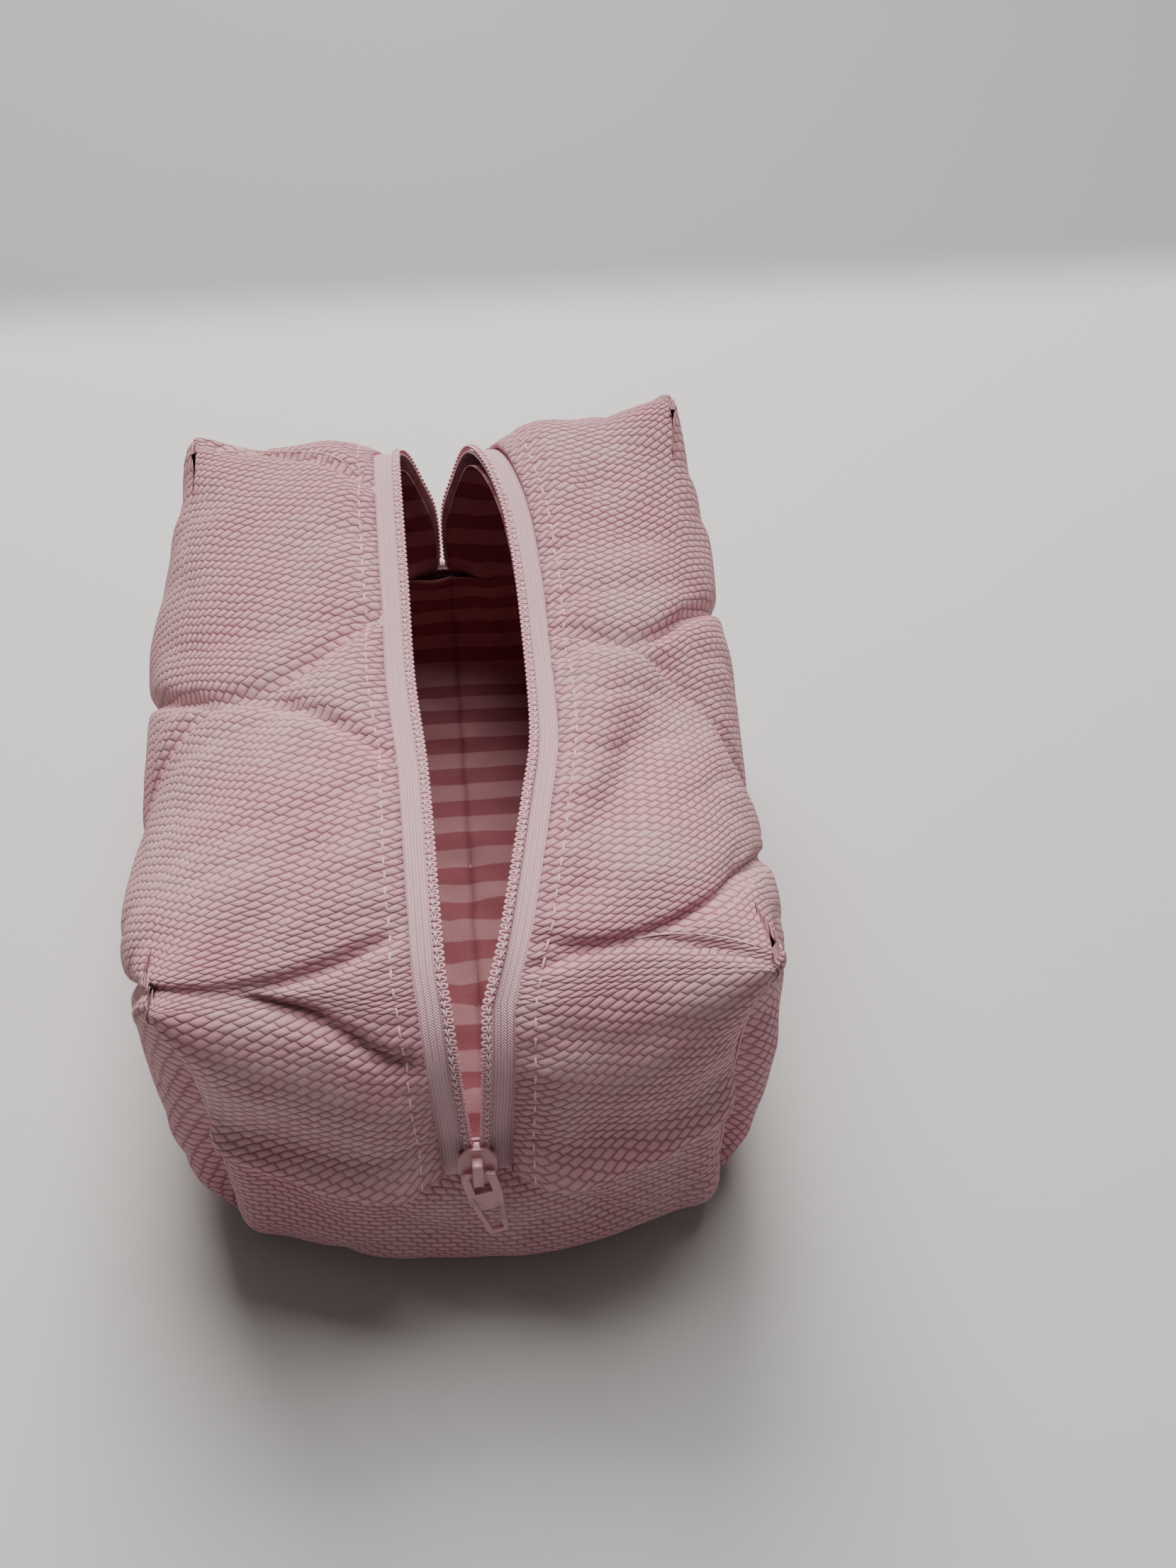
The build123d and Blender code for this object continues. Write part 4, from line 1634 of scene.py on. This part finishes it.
@dataclass
class Threads:
    """All the sewing thread on the bag."""

    form: BagForm
    mouth: Mouth
    cloth: OuterCloth
    stitch: float = 2.9
    pitch: float = 4.0
    thickness: float = 0.62
    dip: float = 0.5
    inset: float = 4.0
    first: float = 4.0
    end_spare: float = 6.0
    half_span: float = 1.4
    proud: float = 0.12
    seam_thread: float = 0.5
    corner_thread: float = 0.45
    quilting_thread: float = 0.4

    def topstitch(self, side: Side, material: bpy.types.Material) -> bpy.types.Object:
        """Runs a line of long stitches beside the folded edge.

        Args:
            side: the half of the bag.
            material: its finish.

        Returns:
            The piece.
        """
        shape = stitch_shape(self.stitch, self.thickness, self.dip)
        bm = bmesh.new()
        outward = self.cloth.edge_outward + self.inset

        def on_cloth(distance: float) -> Vector:
            """Point of the face cloth under the row of stitches."""
            b, c = self.mouth.spot_at(distance)
            a = self.mouth.across(side, b, c, outward)
            return self.cloth.surface(a, b, c, "top" if c == 1.0 else "flap")

        for i in range(int((self.mouth.length - self.end_spare) / self.pitch)):
            middle = self.first + i * self.pitch
            back, ahead = on_cloth(middle - self.half_span), on_cloth(middle + self.half_span)
            along = (ahead - back).normalized()
            upright = self.mouth.turn(side, middle, outward, 0.0).col[2].xyz
            off = (upright - along * along.dot(upright)).normalized()
            turned = Matrix((along.cross(off), along, off)).transposed().to_4x4()
            turned.translation = (back + ahead) / 2 + off * self.proud
            stamp(bm, shape, turned)
        name = side.name.lower()
        piece = new_piece(f"topstitching_{name}", bm, self.form, material)
        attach(piece, "bag")
        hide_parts(f"topstitch_{name}")
        return piece

    def run(
        self, name: str, node: str, routes: list[list[Vector]], thickness: float,
        material: bpy.types.Material,
    ) -> None:
        """Makes one piece of strands that follow seams.

        Args:
            name: the piece's name.
            node: the CAD node that it stands for.
            routes: the middle line of each strand.
            thickness: of the thread.
            material: its finish.
        """
        bm = bmesh.new()
        for points in routes:
            tube_along(bm, points, thickness)
        piece = new_piece(name, bm, self.form, material)
        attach(piece, "bag")
        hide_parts(node)
        log.info("thread %s", name)

    def seams(self, material: bpy.types.Material) -> None:
        """Sews the end seams, the corner seams, the quilting and the lining's floor seam.

        Args:
            material: the thread.
        """
        for end, node in ((End.NEAR, "near_end_seam_thread"), (End.FAR, "far_end_seam_thread")):
            spots = [mix(-0.9, 0.9, i / 60) for i in range(61)]
            line = [self.form.point(a, float(end.value), self.mouth.seam_at(a), -3.4) for a in spots]
            self.run(f"{end.name.lower()}_seam_stitching", node, [line], self.seam_thread, material)
        corners = []
        for a in (-1.0, 1.0):
            for b in (-1.0, 1.0):
                heights = [mix(0.7, -0.8, i / 50) for i in range(51)]
                corners.append([self.form.point(a, b, c, -1.7) for c in heights])
        self.run("corner_seam_stitching", "corner_seam_threads", corners, self.corner_thread, material)
        lengths = [mix(-0.86, 0.86, i / 60) for i in range(61)]
        floor = [self.form.point(Lining.floor_seam, b, -1.0, -Lining.depth) for b in lengths]
        self.run("floor_seam_stitching", "lining_floor_seam", [floor], self.corner_thread, material)
        lines = self.quilting_lines()
        self.run("quilting_stitching", "quilting_thread", lines, self.quilting_thread, material)

    def quilting_line(self, side: Side, repeat: int, sign: int) -> list[Vector]:
        """Route of one quilting thread round the top and the side, deep in its channel.

        Args:
            side: the half of the bag.
            repeat: which pair of lines along the bag, 0 in the middle.
            sign: which line of the pair.

        Returns:
            The thread's middle line, without the places past the ends of the bag.
        """
        cloth, line = self.cloth, []
        node = cloth.left_node if side is Side.LEFT else cloth.right_node
        touch = cloth.left_touch if side is Side.LEFT else cloth.right_touch
        edge = abs(cloth.edge(side, 0.0, 1.0))
        girth = cloth.end_girth + cloth.middle_girth
        round_to_side = (1 - edge) * girth
        for i in range(70):
            q = 6 + i * 2.0
            bow = sign * cloth.swing * (1 - cos(pi * (q - touch) / cloth.wave))
            b = (node + repeat * cloth.channel + bow) / cloth.half_along
            if abs(b) > 0.93 or q >= round_to_side + 90:
                continue
            if q < round_to_side:
                place = cloth.surface(side.value * (edge + q / girth), b, 1.0, "top")
            else:
                c = 1 - (q - round_to_side) / cloth.half_up
                place = cloth.surface(float(side.value), b, c, "side")
            line.append(place + (Vector((0, 0, 50)) - place).normalized() * 0.35)
        return line

    def quilting_lines(self) -> list[list[Vector]]:
        """Routes of every quilting thread that is long enough to show."""
        ways = [(side, repeat, sign) for side in Side for repeat in (-1, 0, 1) for sign in (-1, 1)]
        lines = [self.quilting_line(*way) for way in ways]
        return [line for line in lines if len(line) > 12]

    def build(self, thread: bpy.types.Material) -> None:
        """Makes every thread.

        Args:
            thread: its finish.
        """
        for side in Side:
            log.info("stitching %s", self.topstitch(side, thread).name)
        self.seams(thread)


@dataclass
class Hardware:
    """Slider, its crown, the lock pin and the pull tab, dressed as painted castings."""

    bevel: float = 0.2
    flat_angle: float = 3.0
    sharp_angle: float = 40.0

    def refine(
        self, node: str, name: str, body: str, material: bpy.types.Material
    ) -> bpy.types.Object:
        """Makes a clean copy of a casting, with its sharp edges rounded.

        Args:
            node: the CAD node.
            name: the new piece's name.
            body: the body that it moves with.
            material: its finish.

        Returns:
            The piece, which stands for the node.
        """
        source = next(o for o in bpy.data.objects if o.name == node or o.name.startswith(node + "."))
        bm = bmesh.new()
        bm.from_mesh(source.data)
        bmesh.ops.remove_doubles(bm, verts=bm.verts, dist=0.00001)
        bmesh.ops.dissolve_limit(
            bm, angle_limit=radians(self.flat_angle), verts=bm.verts, edges=bm.edges
        )
        folds = [e for e in bm.edges if len(e.link_faces) == 2]
        sharp = [e for e in folds if e.calc_face_angle(0.0) > radians(self.sharp_angle)]
        bmesh.ops.bevel(
            bm, geom=sharp, offset=self.bevel * MM, segments=3, profile=0.5, affect="EDGES",
            material=-1, clamp_overlap=True,
        )
        mesh = bpy.data.meshes.new(name)
        bm.to_mesh(mesh)
        bm.free()
        mesh.shade_smooth()
        mesh.materials.clear()
        mesh.materials.append(material)
        piece = bpy.data.objects.new(name, mesh)
        bpy.context.scene.collection.objects.link(piece)
        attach(piece, body)
        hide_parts(node)
        return piece

    def build(self, paint: bpy.types.Material, bronze: bpy.types.Material) -> None:
        """Makes the four moving pieces, three of painted zinc and one of painted spring bronze.

        Args:
            paint: the castings' finish.
            bronze: the lock pin's finish.
        """
        self.refine("slider_body", "slider_casting", "slider", paint)
        self.refine("slider_crown", "slider_bridge", "slider", paint)
        self.refine("lock_pin", "locking_pin", "lock", bronze)
        self.refine("pull_tab", "pull_tab_casting", "tab", paint)


# ---- studio ------------------------------------------------------------------------------
@dataclass
class Studio:
    """Pale paper, soft lights from above and behind, and the camera."""

    lens: float = 39.6
    eye: tuple[float, float, float] = (0.003, -0.28407, 0.410)
    yaw: float = 6.3
    pitch: float = 50.3
    roll: float = 1.2
    sensor: float = 36.0
    floor_reach: float = 3.0
    air: str = "E9E6E4"
    air_strength: float = 0.11

    def floor(self, paper: bpy.types.Material) -> None:
        """Lays the flat paper.

        Args:
            paper: its finish.
        """
        bm = bmesh.new()
        bmesh.ops.create_grid(bm, x_segments=8, y_segments=8, size=self.floor_reach)
        mesh = bpy.data.meshes.new("paper_floor")
        bm.to_mesh(mesh)
        bm.free()
        mesh.materials.append(paper)
        sheet = bpy.data.objects.new("paper_floor", mesh)
        bpy.context.scene.collection.objects.link(sheet)

    def light(
        self, name: str, place: tuple[float, ...], aim: tuple[float, ...], size: float, power: float,
        tone: str,
    ) -> None:
        """Hangs one soft square light.

        Args:
            name: the light's name.
            place: where it hangs, in metres.
            aim: the place that it faces.
            size: its side in metres.
            power: in watts.
            tone: its colour.
        """
        data = bpy.data.lights.new(name, "AREA")
        data.shape = "SQUARE"
        data.size, data.energy, data.color = size, power, linear(tone)[:3]
        lamp = bpy.data.objects.new(name, data)
        lamp.location = place
        lamp.rotation_euler = (Vector(place) - Vector(aim)).to_track_quat("Z", "Y").to_euler()
        bpy.context.scene.collection.objects.link(lamp)

    def camera(self) -> None:
        """Sets the camera at the reference angle."""
        yaw, pitch, roll = radians(self.yaw), radians(self.pitch), radians(self.roll)
        ahead = Vector((sin(yaw) * cos(pitch), cos(yaw) * cos(pitch), -sin(pitch)))
        right = Vector((cos(yaw), -sin(yaw), 0.0))
        up = right.cross(ahead)
        right, up = cos(roll) * right + sin(roll) * up, cos(roll) * up - sin(roll) * right
        data = bpy.data.cameras.new("camera")
        data.sensor_fit, data.sensor_height, data.lens = "VERTICAL", self.sensor, self.lens
        data.clip_start = 0.01
        eye = bpy.data.objects.new("camera", data)
        turned = Matrix((right, up, -ahead)).transposed().to_4x4()
        turned.translation = Vector(self.eye)
        eye.matrix_world = turned
        bpy.context.scene.collection.objects.link(eye)
        bpy.context.scene.camera = eye

    def build(self, paper: bpy.types.Material) -> None:
        """Sets up the whole studio.

        Args:
            paper: the floor's finish.
        """
        self.camera()
        self.floor(paper)
        middle = (0.0, 0.0, 0.05)
        self.light("window", (-0.1, 1.05, 1.1), middle, 0.9, 27.0, "FFF8F3")
        self.light("ceiling", (0.15, 0.45, 1.5), middle, 0.8, 15.0, "FFFCFA")
        world = bpy.data.worlds.new("studio_air")
        world.use_nodes = True
        sky = world.node_tree.nodes["Background"]
        sky.inputs[0].default_value = linear(self.air)
        sky.inputs[1].default_value = self.air_strength
        bpy.context.scene.world = world


def main() -> None:
    """Builds the bag's pieces in order and sets up the studio."""
    logging.basicConfig(level=logging.INFO)
    form = BagForm()
    mouth = Mouth(form)
    Studio().build(MattePaper().build())
    cloth = OuterCloth(form, mouth)
    thread = SpunThread().build()
    log.info("cloth %s", cloth.build(BasketweaveCloth().build()).name)
    log.info("wadding %s", Wadding(form, mouth).build(Fleece().build()).name)
    stripes = StripedLining().build()
    for side in Side:
        log.info("lining %s", Lining(form, mouth, side=side).build(stripes).name)
    Zip(form, mouth).build(RibbedTape().build(), NylonCoil().build(), thread)
    Threads(form, mouth, cloth).build(thread)
    paint = PaintedCasting().build()
    bronze = PaintedCasting("painted_bronze_spring", "C99296", "A9787A").build()
    Hardware().build(paint, bronze)


if __name__ == "__main__":
    main()
